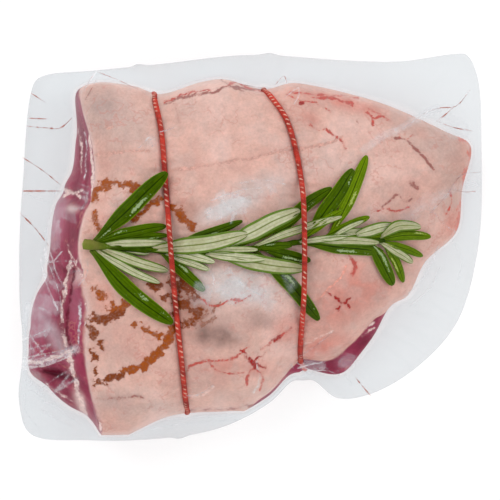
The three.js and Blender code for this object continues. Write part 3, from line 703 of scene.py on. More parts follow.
leanLines = [
    ("membrane", 0.9, 1.6, 0.6, [(61, 188), (70, 193), (82, 191)]),
    ("membrane", 0.8, 1.2, 0.4, [(64, 197), (74, 193), (80, 197)]),
    ("membrane", 0.75, 1.8, 1.2, [(70, 262), (65, 290), (62, 318), (66, 346)]),
    ("leanDeep", 0.7, 1.6, 0.8, [(74, 270), (70, 300), (66, 330), (74, 356)]),
    ("silver", 0.6, 1.0, 0.2, [(80, 300), (79, 325), (78, 345)]),
    ("membrane", 0.85, 1.4, 0.0, [(86, 110), (90, 140), (93, 165), (92, 195)]),
    ("membrane", 0.9, 2.4, 0.5, [(68, 354), (74, 377), (79, 398), (87, 420)]),
    ("membrane", 0.9, 1.3, 0.2, [(86, 282), (87, 310), (86, 350), (94, 395), (101, 430)]),
    ("membrane", 0.8, 1.8, 0.3, [(23, 362), (40, 362), (58, 356), (72, 350)]),
    ("membrane", 0.6, 1.0, 0.2, [(46, 384), (58, 394), (72, 402)]),
    # this deep line follows the hollow below the pale fold band: a real groove, darkened as painted shade
    ("leanDeep", 0.8, 2.0, 1.6, [(44, 371), (58, 373), (73, 379)]),
    ("membrane", 0.7, 1.2, 0.1, [(360, 331), (367, 327), (374, 322)]),
    ("membrane", 0.6, 1.2, 0.1, [(362, 336), (369, 331), (374, 328)]),
    ("membrane", 0.6, 1.3, 0.3, [(82, 252), (76, 262), (70, 270)]),
    ("membrane", 0.5, 0.9, 0.1, [(78, 128), (82, 150), (80, 172)]),
    ("silver", 0.5, 0.9, 0.1, [(84, 132), (87, 152), (84, 180)]),
    ("silver", 0.5, 1.0, 0.0, [(30, 335), (42, 352)]),
    ("membrane", 0.6, 1.2, 0.3, [(68, 246), (73, 262), (82, 276)]),
]


# How the surface of the meat is worked: heights, sizes and distances in mm.
meatRelief = {
    "markWander": (1.6, 5),                       # of the marks, in picture units, and its size
    "lumps": [(0.4, 16, 3), (0.12, 3.5, 7)],      # height, size, seed
    "puckers": (0.2, 3.2, 2.6),                   # height, distance from the twine, half width
    "furrow": (0.9, 1.6),                         # depth and half width, right under the twine
    "groove": 1.3,                                # width of a mark's groove over that of its colour
    "fibres": (0.18, 2.2),                        # height and size, in the lean
    "rounding": (0.12, 0.25, 0.4, 0.55, 0.7, 0.85, 1.0),    # rings from the girth round to the sole
}

# How its colours come and go: sizes in mm and the greatest share of a tint.
meatLook = {
    "patches": (11, 0.7, 0.6),                    # size, share of cream, share of rose
    "ash": (5, 0.35),
    "grain": [(0.05, 3, 97), (0.04, 1.1, 99)],    # strength, size, seed
    "spotWaver": (0.35, 4),                       # how far and over what size the spots come and go
    "lineSwell": (0.7, 2.2), "blotSwell": (1.5, 2.2),
    "torn": (1.2, 3.4, 1.4),                      # shift of lines and of blots in picture units, size
    "rimLine": 0.5,                               # membrane along the rim of the cut face
    "strip": (0.9, 3.2, [(76, 350), (82, 375), (88, 400), (99, 431)]),    # lean: share, half width, line
    "soleMembrane": (14, 0.6),
}


def strongestMarks(x, y, lines, blots, palette, u, v):
    # a soft field and its colour: at each point the mark of greatest strength times nearness wins. Lines
    # are bells of the distance, blots bells with a flat middle, both swelling and fading along their way,
    # and torn at their edges by shifting the point a little by a fine noise
    field, colour = np.zeros(x.shape), np.tile(palette["rose"], (len(x), 1))
    (thinMost, thinSize), (broadMost, broadSize) = meatLook["lineSwell"], meatLook["blotSwell"]
    thin = 1 + thinMost * layeredNoise(x, y, thinSize, 95)
    broad = np.maximum(1 + broadMost * layeredNoise(x, y, broadSize, 121), 0)
    tornLine, tornBlot, tornSize = meatLook["torn"]
    shiftU, shiftV = (layeredNoise(x, y, tornSize, seed) for seed in (161, 171))
    rows = [(name, strength, max(1.2 * width, 1.5), False, rest[-1])
            for name, strength, width, *rest in lines]
    rows += [(name, strength, width, True, points) for name, strength, width, points in blots]
    for name, strength, width, isBlot, points in rows:
        torn = tornBlot if isBlot else tornLine
        near = lineShare(u + torn * shiftU, v + torn * shiftV, points, width)
        near = strength * (smooth(1.35 * near * broad) if isBlot else near * thin)
        colour[near > field] = palette[name]
        field = np.maximum(field, near)
    return field, colour


def paintSpots(tint, u, v, spots, palette, waver):
    # pulls the tint towards each spot's colour by its strength times a bell over its ellipse
    for name, strength, *place in spots:
        share = np.clip(strength * spotShare(u, v, *place) * (1 + waver), 0, 1)[:, None]
        tint[:] = mix(tint, palette[name], share)


def leanShare(angle, reach, waver):
    # 1 where lean meat shows: past the cap's rim on the cut face and in front, lower down on the other sides
    cutFace = smooth((angle - 133) / 5) * smooth((236 - angle) / 5)
    front = smooth((angle - 272) / 6) * smooth((338 - angle) / 6)
    start = mix(0.86, mix(0.1, 0.02, cutFace), np.maximum(cutFace, front))
    return smooth((reach - 1 - start + waver) / 0.06), cutFace * bell(reach - 1.015, 0.035)


def raiseMeat(x, y, z, u, v, reach, lean):
    # soft lumps, the furrow and puckers at the twine, grooves along the marks and fibres in the lean
    onCap, away = smooth((1 - reach) / 0.05), twineDistance(x, y)
    height, distance, width = meatRelief["puckers"]
    puckers = height * bell(away - distance, width) * np.sin(1.7 * y + 3 * softNoise(x, y, 9, 17))
    lumps = sum(height * layeredNoise(x, y, size, seed) for height, size, seed in meatRelief["lumps"])
    depth, width = meatRelief["furrow"]
    z = z + onCap * (lumps * (1 - bell(away, 3)) + puckers - depth * bell(away, width))
    for name, strength, width, depth, points in fatLines + leanLines:
        z = z - depth * lineShare(u, v, points, width * meatRelief["groove"])
    height, size = meatRelief["fibres"]
    fibres = layeredNoise(x * 0.35 + y * 0.1 + z * 0.5, y * 0.35 + z * 1.2, size, 71)
    return z + height * lean * fibres, fibres


def tintMeat(x, y, z, u, v, lean, rimLine, fibres):
    # fat: patches of cream, rose and ash with the soft spots and a grain. Lean: streaks along its fibres
    palette = linearTints(meatTints)
    most, size = meatLook["spotWaver"]
    waver = most * layeredNoise(x, y, size, 91)
    size, mostCream, mostRose = meatLook["patches"]
    patches = layeredNoise(x, y, size, 93)
    fat = np.tile(palette["fat"], (len(x), 1))
    fat = mix(fat, palette["cream"], (mostCream * smooth(patches * 1.8))[:, None])
    fat = mix(fat, palette["rose"], (mostRose * smooth(-patches * 1.8))[:, None])
    paintSpots(fat, u, v, fatSpots, palette, waver)
    size, mostAsh = meatLook["ash"]
    fat = mix(fat, palette["ash"], (mostAsh * smooth(layeredNoise(x, y, size, 103) * 2))[:, None])
    grain = sum(strength * layeredNoise(x, y, size, seed) for strength, size, seed in meatLook["grain"])
    fat = fat * (1 + grain)[:, None]
    streak = np.clip(0.5 + 0.8 * fibres + 0.4 * shards(x + 0.5 * z, y * 0.6, 4.5, 131), 0, 1)[:, None]
    meat = mix(mix(palette["leanDeep"], palette["lean"], 0.5), palette["lean"], streak)
    paintSpots(meat, u, v, leanSpots, palette, waver)
    tint = mix(mix(fat, meat, lean[:, None]), palette["membrane"], meatLook["rimLine"] * rimLine[:, None])
    stripShare, width, line = meatLook["strip"]
    strip = smooth(2 * lineShare(u, v, line, width))
    tint = mix(tint, meat, stripShare * strip[:, None])
    lean = np.maximum(lean, strip)
    fatMarks, fatColour = strongestMarks(x, y, fatLines, stampLines, palette, u, v)
    leanMarks, leanColour = strongestMarks(x, y, leanLines, [], palette, u, v)
    marks = np.where(lean > 0.5, leanMarks, fatMarks)
    return tint, lean, marks, np.where(lean[:, None] > 0.5, leanColour, fatColour)


def tintSole(x, y, z):
    # streaks of deep and pale lean under patches of membrane
    palette = linearTints(meatTints)
    streak = np.clip(0.3 + 0.7 * layeredNoise(x * 0.4 + z, y * 0.4, 3, 71), 0, 1)[:, None]
    tint = mix(mix(palette["leanDeep"], palette["lean"], 0.6), palette["leanPale"], streak)
    size, most = meatLook["soleMembrane"]
    membrane = most * smooth(layeredNoise(x, y, size, 141) * 3 - 0.6)
    return mix(tint, palette["membrane"], membrane[:, None])


def buildMeat():
    # rings are spread over the cap and the side by their lengths at each angle
    angle, share, faces, edge = discGrid(joint["cells"])
    cap = capRadius(angle)
    side = 1.15 * np.hypot(girthRadius(angle) - cap, rimHeight(angle) - joint["girthHeight"])
    split = cap / (cap + side)
    reach = np.where(share <= split, share / split, 1 + (share - split) / (1 - split))
    x, y, z = jointSurface(angle, reach)
    u, v = seenAt(x, y, z)
    wander, size = meatRelief["markWander"]
    u, v = u + wander * layeredNoise(x, y, size, 11), v + wander * layeredNoise(x, y, size, 31)
    lean, rimLine = leanShare(angle, reach, 0.03 * layeredNoise(x + z, y, 4, 51))
    z, fibres = raiseMeat(x, y, z, u, v, reach, lean)
    tint, lean, marks, markTint = tintMeat(x, y, z, u, v, lean, rimLine, fibres)

    # the underside: rings on from the girth to one flat sole
    rings = [np.stack(jointSurface(angle[edge], np.full(len(edge), 2 + turn)), 1)
             for turn in meatRelief["rounding"]]
    below, bands, fan = closeBelow(edge, len(x), rings, joint["soleHeight"])
    belowTint = tintSole(*below.T)
    points = np.vstack([np.stack([x, y, z], 1), below])
    return makePiece("lambRump", points, [np.vstack([faces] + bands), fan], {
        "tint": np.vstack([tint, belowTint]), "lean": np.concatenate([lean, np.ones(len(below))]),
        "marks": np.concatenate([marks, np.zeros(len(below))]), "markTint": np.vstack([markTint, belowTint])})


def meatMaterial():
    # fat: fine mottle and a soft waxy face. Lean: wetter, with stretched fibres
    material, tree, surface = newMaterial("fatAndLean")
    lean = readAttribute(tree, "lean")
    coarse = placeGroup(tree, groups["mottle"], Color=readAttribute(tree, "tint", True), Scale=260.0,
                        Amount=0.07)
    fine = placeGroup(tree, groups["mottle"], Color=coarse.outputs["Color"], Scale=1100.0, Amount=0.09)
    # fine veins, then the drawn marks: a crisp core with a faint halo
    veins = placeGroup(tree, groups["fineThreads"], Scale=110.0, Width=0.022, Patches=0.48)
    veined = blendColours(tree, maths(tree, "MULTIPLY", veins.outputs[0], 0.42), fine.outputs["Color"],
                          (*linear(meatTints["veinling"]), 1))
    field = readAttribute(tree, "marks")
    ink = placeGroup(tree, groups["mottle"], Color=readAttribute(tree, "markTint", True), Scale=1000.0,
                     Amount=0.34)
    core = placeGroup(tree, groups["raggedEdge"], Field=field, Scale=1100.0, Ragged=1.3, Softness=0.2)
    dense = maths(tree, "MULTIPLY_ADD", ink.outputs["Mask"], 0.6, 0.55)
    inked = maths(tree, "MULTIPLY_ADD", maths(tree, "MULTIPLY", core.outputs[0], dense), 0.95,
                  maths(tree, "MULTIPLY", field, 0.22), clamp=True)
    tree.links.new(blendColours(tree, inked, veined, ink.outputs["Color"]), surface.inputs["Base Color"])
    tree.links.new(maths(tree, "MULTIPLY_ADD", lean, -0.12, 0.44), surface.inputs["Roughness"])
    relief = placeGroup(tree, groups["fineRelief"], Scale=1300.0, Depth=0.00012)
    tree.links.new(relief.outputs["Normal"], surface.inputs["Normal"])
    surface.inputs["Subsurface Weight"].default_value = 0.18
    surface.inputs["Subsurface Radius"].default_value = (1.0, 0.45, 0.35)
    surface.inputs["Subsurface Scale"].default_value = 0.0016
    surface.inputs["Specular IOR Level"].default_value = 0.12
    # the film that clings to it shows as a thin gloss of its own, creased at a larger scale
    creases = placeGroup(tree, groups["fineRelief"], Scale=240.0, Depth=0.0006)
    tree.links.new(creases.outputs["Normal"], surface.inputs["Coat Normal"])
    tree.links.new(maths(tree, "MULTIPLY_ADD", lean, -0.15, 0.2), surface.inputs["Coat Weight"])
    surface.inputs["Coat Roughness"].default_value = 0.15
    return material


twine = {
    "radius": 0.95,
    "proud": 0.15, "overSprig": 4.4,      # height of its middle over the fat and over the sprig
    "sunk": 0.35,                          # how far its middle lies inside the meat's side and sole
    "sprigSpan": {"twineLeft": (-17.5, 12), "twineRight": (-27.5, 24.5)},  # where it crosses the sprig
    "nodes": {"twineLeft": "twine_left", "twineRight": "twine_right"},
    # round the loop: radius, whiteness, how deep it sits
    "strands": [(0.44, 0, 0), (0.44, 0, 0), (0.36, 1, 0), (0.44, 0, 0), (0.44, 0, 0), (0.36, 1, 0)],
    "pitch": 3.8,
    # deepRed serves both for worn red and for the painted shade in the grooves between strands
    "red": (226, 66, 48), "deepRed": (112, 14, 12), "white": (246, 196, 172),
    "dotFrom": 0.7, "dotFade": 0.22,       # how far out, from 0 to 1, white begins to show, and over what
    "dotDrift": (0.9, 6), "fleckSize": 2.1,    # turn of the dots to and fro and its size, size of worn flecks
    "wear": (0.7, 0.6, 3),                 # share of the clear red, how far it varies, and its size
    "steps": 1000, "sides": 7,
}


def twineLoop(name):
    # over the cap, down one side, straight under the sole and up the other side, as a closed dense line
    low, high = twine["sprigSpan"][name]
    route = splinePoints(twineRoutes[name], False, 4)
    overLeaves = smooth((route[:, 1] - low) / 7) * smooth((high - route[:, 1]) / 7)
    height = capHeight(route[:, 0], route[:, 1]) + mix(twine["proud"], twine["overSprig"], overLeaves)

    def flank(end):
        # down the side and round under it, moved in along the plan normal
        angle = float(polarOf(*end)[0])
        reach = np.array([1.25, 1.55, 1.85, 2.1, 2.35, 2.6, 2.85])
        points = np.stack(jointSurface(np.full(7, angle), reach, seams=0), 1)
        ahead, behind = (np.array(jointSurface(np.array([angle + turn]), np.array([2.0]))).ravel()
                         for turn in (1, -1))
        along = (ahead - behind) / np.linalg.norm(ahead - behind)
        turn = np.clip(reach - 2, 0, 1) * math.pi / 2
        inwards = twine["sunk"] * np.where(reach < 2, smooth((reach - 1.25) / 0.6), np.cos(turn))
        up = np.outer(np.sin(turn) * twine["sunk"], (0, 0, 1))
        return points + np.outer(inwards, (-along[1], along[0], 0)) + up

    back, front = flank(twineRoutes[name][0]), flank(twineRoutes[name][-1])
    sole = mix(front[-1], back[-1], np.array([0.2, 0.4, 0.6, 0.8])[:, None])
    sole[:, 2] = joint["soleHeight"] + twine["sunk"]
    over = np.column_stack([route, height])[1:-1]
    return splinePoints(np.vstack([over, front, sole, back[::-1]]), True, 40)


def buildTwine(name):
    # strands laid round the loop: each middle turns about it once a pitch, each section is a circle
    steps, sides = twine["steps"], twine["sides"]
    line, length = evenSteps(twineLoop(name), steps, closed=True)
    slope = lambda p: (np.roll(p, -1, 0) - np.roll(p, 1, 0))
    unit = lambda p: p / np.linalg.norm(p, axis=1, keepdims=True)
    ahead = unit(slope(line))
    sideways = unit(np.array([1.0, 0, 0]) - ahead * ahead[:, :1])
    outwards = np.cross(ahead, sideways)
    turns = round(length / twine["pitch"]) * 2 * math.pi * np.arange(steps) / steps
    driftMost, driftSize = twine["dotDrift"]
    drift = driftMost * softNoise(np.arange(steps) * length / steps, np.zeros(steps), driftSize, 209)[:, None]
    points, white, twist, unshadedShare = [], [], [], []
    for number, (radius, whiteness, depth) in enumerate(twine["strands"]):
        phase = (turns + number * 2 * math.pi / len(twine["strands"]))[:, None]
        outer = np.cos(phase) * outwards + np.sin(phase) * sideways
        middle = line + (twine["radius"] - radius - depth) * outer
        side = unit(np.cross(unit(slope(middle)), outer))
        round_ = 2 * math.pi * np.arange(sides) / sides
        ring = (middle[:, None] + radius * (np.cos(round_)[None, :, None] * outer[:, None]
                                            + np.sin(round_)[None, :, None] * side[:, None]))
        points.append(ring.reshape(-1, 3))
        # white only where the strand comes out on top
        dots = smooth((np.cos(phase - drift) - twine["dotFrom"]) / twine["dotFade"])
        white.append(np.repeat(whiteness * dots, sides))
        twist.append((np.arange(steps)[:, None] * length / steps + round_[None] * radius * 0.7).ravel())
        unshadedShare.append(np.tile(smooth((np.cos(round_) + 0.1) / 0.9), steps))
    points, white, twist = np.vstack(points), np.concatenate(white), np.concatenate(twist)
    unshadedShare = np.concatenate(unshadedShare)    # 1 on a strand's back, 0 down in the groove beside it
    one = gridFaces(steps, sides, True, True)
    faces = np.vstack([one + k * steps * sides for k in range(len(twine["strands"]))])
    red, deep, pale = (linear(twine[key]) for key in ("red", "deepRed", "white"))
    clear, varies, size = twine["wear"]
    wearAndGrooveShade = np.clip(clear + varies * layeredNoise(points[:, 1], twist, size, 201), 0, 1)[:, None]
    # painted shade: the red darkens, and the white dots dim, down in the grooves between strands
    wearAndGrooveShade = wearAndGrooveShade * unshadedShare[:, None]
    fleck = smooth(0.65 + 1.1 * softNoise(points[:, 0], points[:, 1], twine["fleckSize"], 207))[:, None]
    tint = mix(mix(deep, red, wearAndGrooveShade), pale, white[:, None] * fleck * mix(0.3, 1, unshadedShare[:, None]))
    return makePiece(name, points, faces, {"tint": tint, "twist": twist}), line


def twineMaterial():
    # yarn: fine threads along each strand as a wave of the twist attribute, matt with a little sheen
    material, tree, surface = newMaterial("butchersTwine")
    coloured = placeGroup(tree, groups["mottle"], Color=readAttribute(tree, "tint", True), Scale=1400.0,
                          Amount=0.15)
    tree.links.new(coloured.outputs["Color"], surface.inputs["Base Color"])
    wave = maths(tree, "SINE", maths(tree, "MULTIPLY", readAttribute(tree, "twist"), 14.0))
    relief = placeGroup(tree, groups["fineRelief"], Scale=3000.0, Depth=0.0001)
    bump = addNode(tree, "ShaderNodeBump", Strength=0.7, Distance=0.00008, Height=wave,
                   Normal=relief.outputs["Normal"])
    tree.links.new(bump.outputs[0], surface.inputs["Normal"])
    surface.inputs["Roughness"].default_value = 0.7
    surface.inputs["Sheen Weight"].default_value = 0.05
    surface.inputs["Specular IOR Level"].default_value = 0.2
    return material


sprig = {
    "stem": [(-57, 1), (-50.6, 0.3), (-33.8, -1), (-16.9, -1.7), (0, -0.7), (16.9, 1.7), (33.8, 3),
             (46.5, 2)],
    "stemRadius": (1.05, 0.65), "cutRadius": 1.8, "cutLength": 9,   # it flares towards its cut end
    "stemLift": 0.5, "stemSteps": 160, "stemSides": 20,
    "lift": 0.75, "layerStep": 0.6, "pressedStep": 0.25, "footOffset": 0.7, "rootShare": 0.2,
    "thickness": 0.85,
    "rows": 44, "columns": 14,
    # distance of the foot along the stem, tip, width, layer, bow, rise of the tip, side that shows
    "leaves": [
        (4, -27.9, 25.3, 6.1, 2.2, 0, 1.6, "upper"), (4, -28.2, 7.1, 3.9, 1, 0.03, 0, "upper"),
        (5.5, -27.5, 4, 2.9, 0.4, 0.02, 0, "upper"), (5.5, -27.8, 1.5, 3.1, 2, 0.01, 0, "under"),
        (5.5, -27.5, -8.1, 3.7, 2, -0.02, 0, "under"), (4, -30.4, -12.2, 3, 1.6, -0.035, 0, "under"),
        (3, -26, -26, 6.1, 2, -0.045, 0, "upper"), (7.5, -32.7, -0.9, 2.9, 0, 0.02, 0, "upper"),
        (12.5, -33.8, -2, 2.7, 0.3, 0, 0, "under"), (28.5, -2.4, 8.8, 3.2, 1, 0, 0, "upper"),
        (21.5, -0.8, 4.4, 6.1, 3.2, -0.035, 0, "under"), (27, -11.8, -5.1, 3.3, 2, 0.03, 0, "under"),
        (27, -13.5, -7.8, 2.7, 1.2, 0, 0, "under"), (27, -15.2, -14.9, 3.9, 0.5, 0.005, 0, "upper"),
        (41, 2.7, -0.9, 2.5, 2.6, 0.02, 0, "under"), (40, 5.4, -3.9, 3.6, 2.4, -0.02, 0, "under"),
        (44, 18.8, -7.4, 5.8, 2, -0.025, 0, "under"), (47, 17, 12.6, 6.1, 2.6, 0.02, 0, "under"),
        (51, 17.9, 11.5, 3.4, 1.6, 0, 0, "upper"), (57, 31.2, 10.3, 3, 3, 0.02, 0, "under"),
        (59, 14.3, 0.5, 2.7, 1.8, 0.03, 0, "upper"), (61, 20.6, -4.7, 3.7, 1, 0, 0, "upper"),
        (58.5, 23.6, -25, 5, 0, 0.03, 0, "upper"), (64, 27.8, 20.2, 4.4, 0.4, 0.06, 0, "upper"),
        (75.5, 35.1, 26.6, 5.4, 1.6, -0.02, 0, "upper"), (84, 39.8, 31.3, 4.4, 0.6, -0.025, 0, "young"),
        (74.5, 31.4, 12.5, 3.2, 2.2, 0.03, 0, "young"), (82, 40.7, 10.3, 3, 1.3, 0.02, 0, "young"),
        (84.5, 38.5, 8.9, 1.9, 3, 0.02, 0, "under"), (91.5, 49.6, 7.4, 4.2, 2.3, 0.03, 0, "under"),
        (101, 58.5, 6.9, 4.1, 3.4, 0.15, 0, "under"), (101.5, 62.1, 3.6, 3.5, 1, 0.05, 0, "young"),
        (77, 44, 1.5, 3.2, 2.7, 0.02, 0, "under"), (74.5, 45.6, -1.7, 4.6, 1, 0, 0, "upper"),
        (102, 59.4, -3.2, 2.8, 1.6, 0.02, 0, "young"), (101, 55.9, -5.4, 3.1, 2, 0.02, 0, "under"),
        (97.5, 49, -13.2, 4.8, 1.2, 0.03, 0, "upper"), (102.5, 52.7, -12.2, 3.1, 0.6, 0.06, 0, "young"),
        (72, 33.4, 3.7, 2.4, 3.1, 0, 0, "under"), (82, 41.2, 5.9, 2.7, 1.6, 0.02, 0, "under"),
        (83.5, 45.2, 4, 2.7, 0.8, 0, 0, "young")],
    "tints": {
        # the gloss colours here are the colours of painted highlights
        "upper": (78, 106, 0), "upperDeep": (44, 64, 0), "glintTint": (168, 188, 140), "young": (112, 140, 2),
        "youngDeep": (84, 112, 0), "youngGlintTint": (186, 198, 110), "felt": (208, 209, 176),
        "feltShade": (160, 158, 112), "margin": (84, 118, 0), "rim": (110, 140, 16), "rib": (98, 112, 30),
        # groove: painted shade down the sunken midrib of the upper face
        "groove": (22, 40, 0), "stem": (128, 126, 60), "stemCut": (176, 180, 110), "foot": (120, 128, 50),
        "joint": (178, 132, 112)},
    "rimFrom": 0.88, "marginFrom": 0.7,      # where the edge colours start, as shares of the half width
}


def stemAt(stemLine, stemLength, along):
    # the stem's middle, direction, radius and half height at a share of its length: pressed by the twine
    steps = np.linspace(0, 1, len(stemLine))
    x, y = (np.interp(along, steps, column) for column in stemLine.T)
    aheadX, aheadY = (np.interp(along, steps, column) for column in np.gradient(stemLine, axis=0).T)
    size = np.hypot(aheadX, aheadY)
    flare = 1 - smooth(along * stemLength / sprig["cutLength"])
    radius = mix(*sprig["stemRadius"], along) + (sprig["cutRadius"] - sprig["stemRadius"][0]) * flare
    high = radius * mix(1, 0.6, bell(twineDistance(x, y), 5))
    return x, y, capHeight(x, y) + sprig["stemLift"] + high, aheadX / size, aheadY / size, radius, high


def leafPoints(stemLine, stemLength, row, seed):
    # a closed blade: half width (w/2) (0.3 + 0.7 smooth(s/0.45)) sqrt(1 - s^6), bulging each side of a sunken
    # midrib or, where the under side shows, hollow between the midrib and the rolled margins
    at, tipX, tipY, width, layer, bow, tipRise, side = row
    footX, footY, footZ, stemX, stemY, radius, high = (
        float(value) for value in stemAt(stemLine, stemLength, np.array(at / stemLength)))
    direction = np.array([tipX - footX, tipY - footY])
    direction /= np.linalg.norm(direction)
    offset = sprig["footOffset"] * radius * float(np.clip(
        2 * (stemX * direction[1] - stemY * direction[0]), -1, 1))
    start = np.array([footX - stemY * offset, footY + stemX * offset])
    rootLift = footZ - float(capHeight(start[0], start[1])) - sprig["thickness"] / 2
    reach = np.array([tipX, tipY]) - start
    length = np.linalg.norm(reach)
    ahead = reach / length

    rows, columns = sprig["rows"], sprig["columns"]
    share = np.clip((np.arange(rows) - 1) / (rows - 3), 0, 1)[:, None]
    closed = np.where((np.arange(rows) == 0) | (np.arange(rows) == rows - 1), 0, 1)[:, None]
    column = np.arange(columns * 2)[None]
    onTop = column <= columns
    across = np.where(onTop, column, columns * 2 - column) / columns * 2 - 1      # from -1 to 1
    across = np.sin(across * math.pi / 2)                                          # closer at the edges
    along = mix(0.01, 0.995, 1 - (1 - share) ** 1.6)
    half = width / 2 * (0.3 + 0.7 * smooth(along / 0.45)) * np.sqrt(1 - along ** 6) * closed
    draw = np.random.default_rng(seed).uniform(-1, 1, 6)
    wobble = 0.025 * width * np.sin(2 * math.pi * (along * (1.5 + 0.5 * draw[0]) + draw[1]))
    offset = bow * length * np.sin(math.pi * along) + wobble * np.sin(math.pi * along) + across * half
    x = start[0] + ahead[0] * length * along - ahead[1] * offset
    y = start[1] + ahead[1] * length * along + ahead[0] * offset
    c = np.abs(across)
    if side == "under":
        face = (0.45 + 0.5 * bell(c - 0.86, 0.13) - 0.5 * smooth((c - 0.9) / 0.1)
                + 0.4 * bell(c, 0.1) * (1 - along) ** 0.5)
    else:
        face = 0.3 + 0.75 * (1 - c ** 3) ** 0.8 - 0.5 * bell(c, 0.14) * (1 - along ** 4)
    ripple = 0.06 * np.sin(along * length * 1.3 + draw[2] * 3) * np.sign(across) * (1 - c)
    topFace = (face + ripple) * np.minimum(1, half / width * 4)
    underFace = 0.15 * (1 - c ** 2) * closed
    step = mix(sprig["layerStep"], sprig["pressedStep"], bell(twineDistance(x, y), 5))
    lift = mix(rootLift, sprig["lift"] + layer * step, smooth(along / sprig["rootShare"]))
    lift = lift + tipRise * smooth((along - 0.7) / 0.2) + 0.1 * draw[3] * across * half
    z = capHeight(x, y) + lift + sprig["thickness"] * np.where(onTop, topFace, underFace)
    points = np.stack([np.broadcast_to(a, z.shape) for a in (x, y, z)], -1).reshape(-1, 3)
    faces = gridFaces(rows, columns * 2, closedColumns=True)

    tints = linearTints(sprig["tints"])
    along, across, c, top, closed = (np.broadcast_to(a, z.shape).ravel()[:, None]
                                     for a in (along, across, c, onTop, closed))
    grain = layeredNoise(along * length * 0.5, across * 3, 1.0, seed + 300)
    patch = softNoise(along * length / 5, across * 0.6, 1.0, seed + 900)
    young = side == "young"
    green = mix(tints["youngDeep" if young else "upperDeep"], tints["young" if young else "upper"],
                np.clip(0.6 + 0.35 * grain + 0.25 * draw[4], 0, 1))
    lit = 1 if draw[5] > 0 else -1                                       # the half that catches the light
    # painted highlight: a streak of glint colour along the half of the blade that catches the light, broken
    # into patches
    paintedShine = bell(across - 0.5 * lit, 0.2) * smooth((patch + 0.2) / 0.6)
    paintedShine = paintedShine * smooth(along / 0.2) * (1 - along ** 6)
    felt = mix(tints["feltShade"], tints["felt"], np.clip(0.62 + 0.35 * grain + 0.3 * draw[4], 0, 1))
    felt = mix(felt, tints["joint"], 0.35 * smooth((0.3 - along) / 0.3) * smooth(patch * 2))
    showsFelt = (side == "under") == top
    tint = mix(np.where(showsFelt, felt, green), tints["foot"], 0.6 * (1 - smooth(along / 0.1)))
    return {"points": points, "faces": faces, "tint": tint, "felt": showsFelt.ravel() * closed.ravel(),
            "across": across.ravel(), "paintedShine": (paintedShine * ~showsFelt * top).ravel(),
            "young": np.full(len(points), float(young))}


def buildSprig():
    stemLine, stemLength = evenSteps(splinePoints(sprig["stem"], False), sprig["stemSteps"])
    blades = [leafPoints(stemLine, stemLength, row, 400 + number)
              for number, row in enumerate(sprig["leaves"])]
    size = sprig["rows"] * sprig["columns"] * 2
    points = np.vstack([b["points"] for b in blades])
    faces = np.vstack([b["faces"] + k * size for k, b in enumerate(blades)])

    # the stem: rings along its line, closed to a point at both ends, with a bump under each leaf's foot
    steps, sides = sprig["stemSteps"], sprig["stemSides"]
    along = np.linspace(0, 1, steps)[:, None]
    turn = np.linspace(0, 2 * math.pi, sides, endpoint=False)[None]
    x, y, z, aheadX, aheadY, radius, high = stemAt(stemLine, stemLength, along)
    feet = np.array([row[0] for row in sprig["leaves"]])
    bumps = bell(along * stemLength - feet[None], 1.2).max(1)[:, None]
    ends = np.sqrt(np.clip(np.minimum(along, 1 - along) * stemLength / 0.5, 0, 1))
    swell = (1 + (0.2 * bumps + 0.08 * np.sin(turn * 5 + along * 60)) / radius) * ends
    sideways, up = np.cos(turn) * radius * swell, np.sin(turn) * high * swell
    stem = np.stack([x - aheadY * sideways, y + aheadX * sideways, z + up], -1).reshape(-1, 3)
    tints = linearTints(sprig["tints"])
    along = np.repeat(along.ravel(), sides)[:, None]
    grain = np.clip(0.4 + layeredNoise(stem[:, 0], stem[:, 1], 2, 77), 0, 1)[:, None]
    bark = mix(tints["stem"], tints["upperDeep"], smooth(along * stemLength / 14))
    bark = mix(bark, tints["margin"], 0.5 * grain)
    bark = mix(bark, tints["stemCut"], 1 - smooth(along * stemLength / 0.6))
    faces = np.vstack([faces, gridFaces(steps, sides, closedColumns=True)[:, ::-1] + len(points)])
    points = np.vstack([points, stem])
    attributes = {key: np.concatenate([b[key] for b in blades] + [np.zeros(len(stem))])
                  for key in ("felt", "across", "paintedShine", "young")}
    attributes["tint"] = np.vstack([b["tint"] for b in blades] + [bark])
    return makePiece("rosemarySprig", points, faces, attributes, weld=True), points


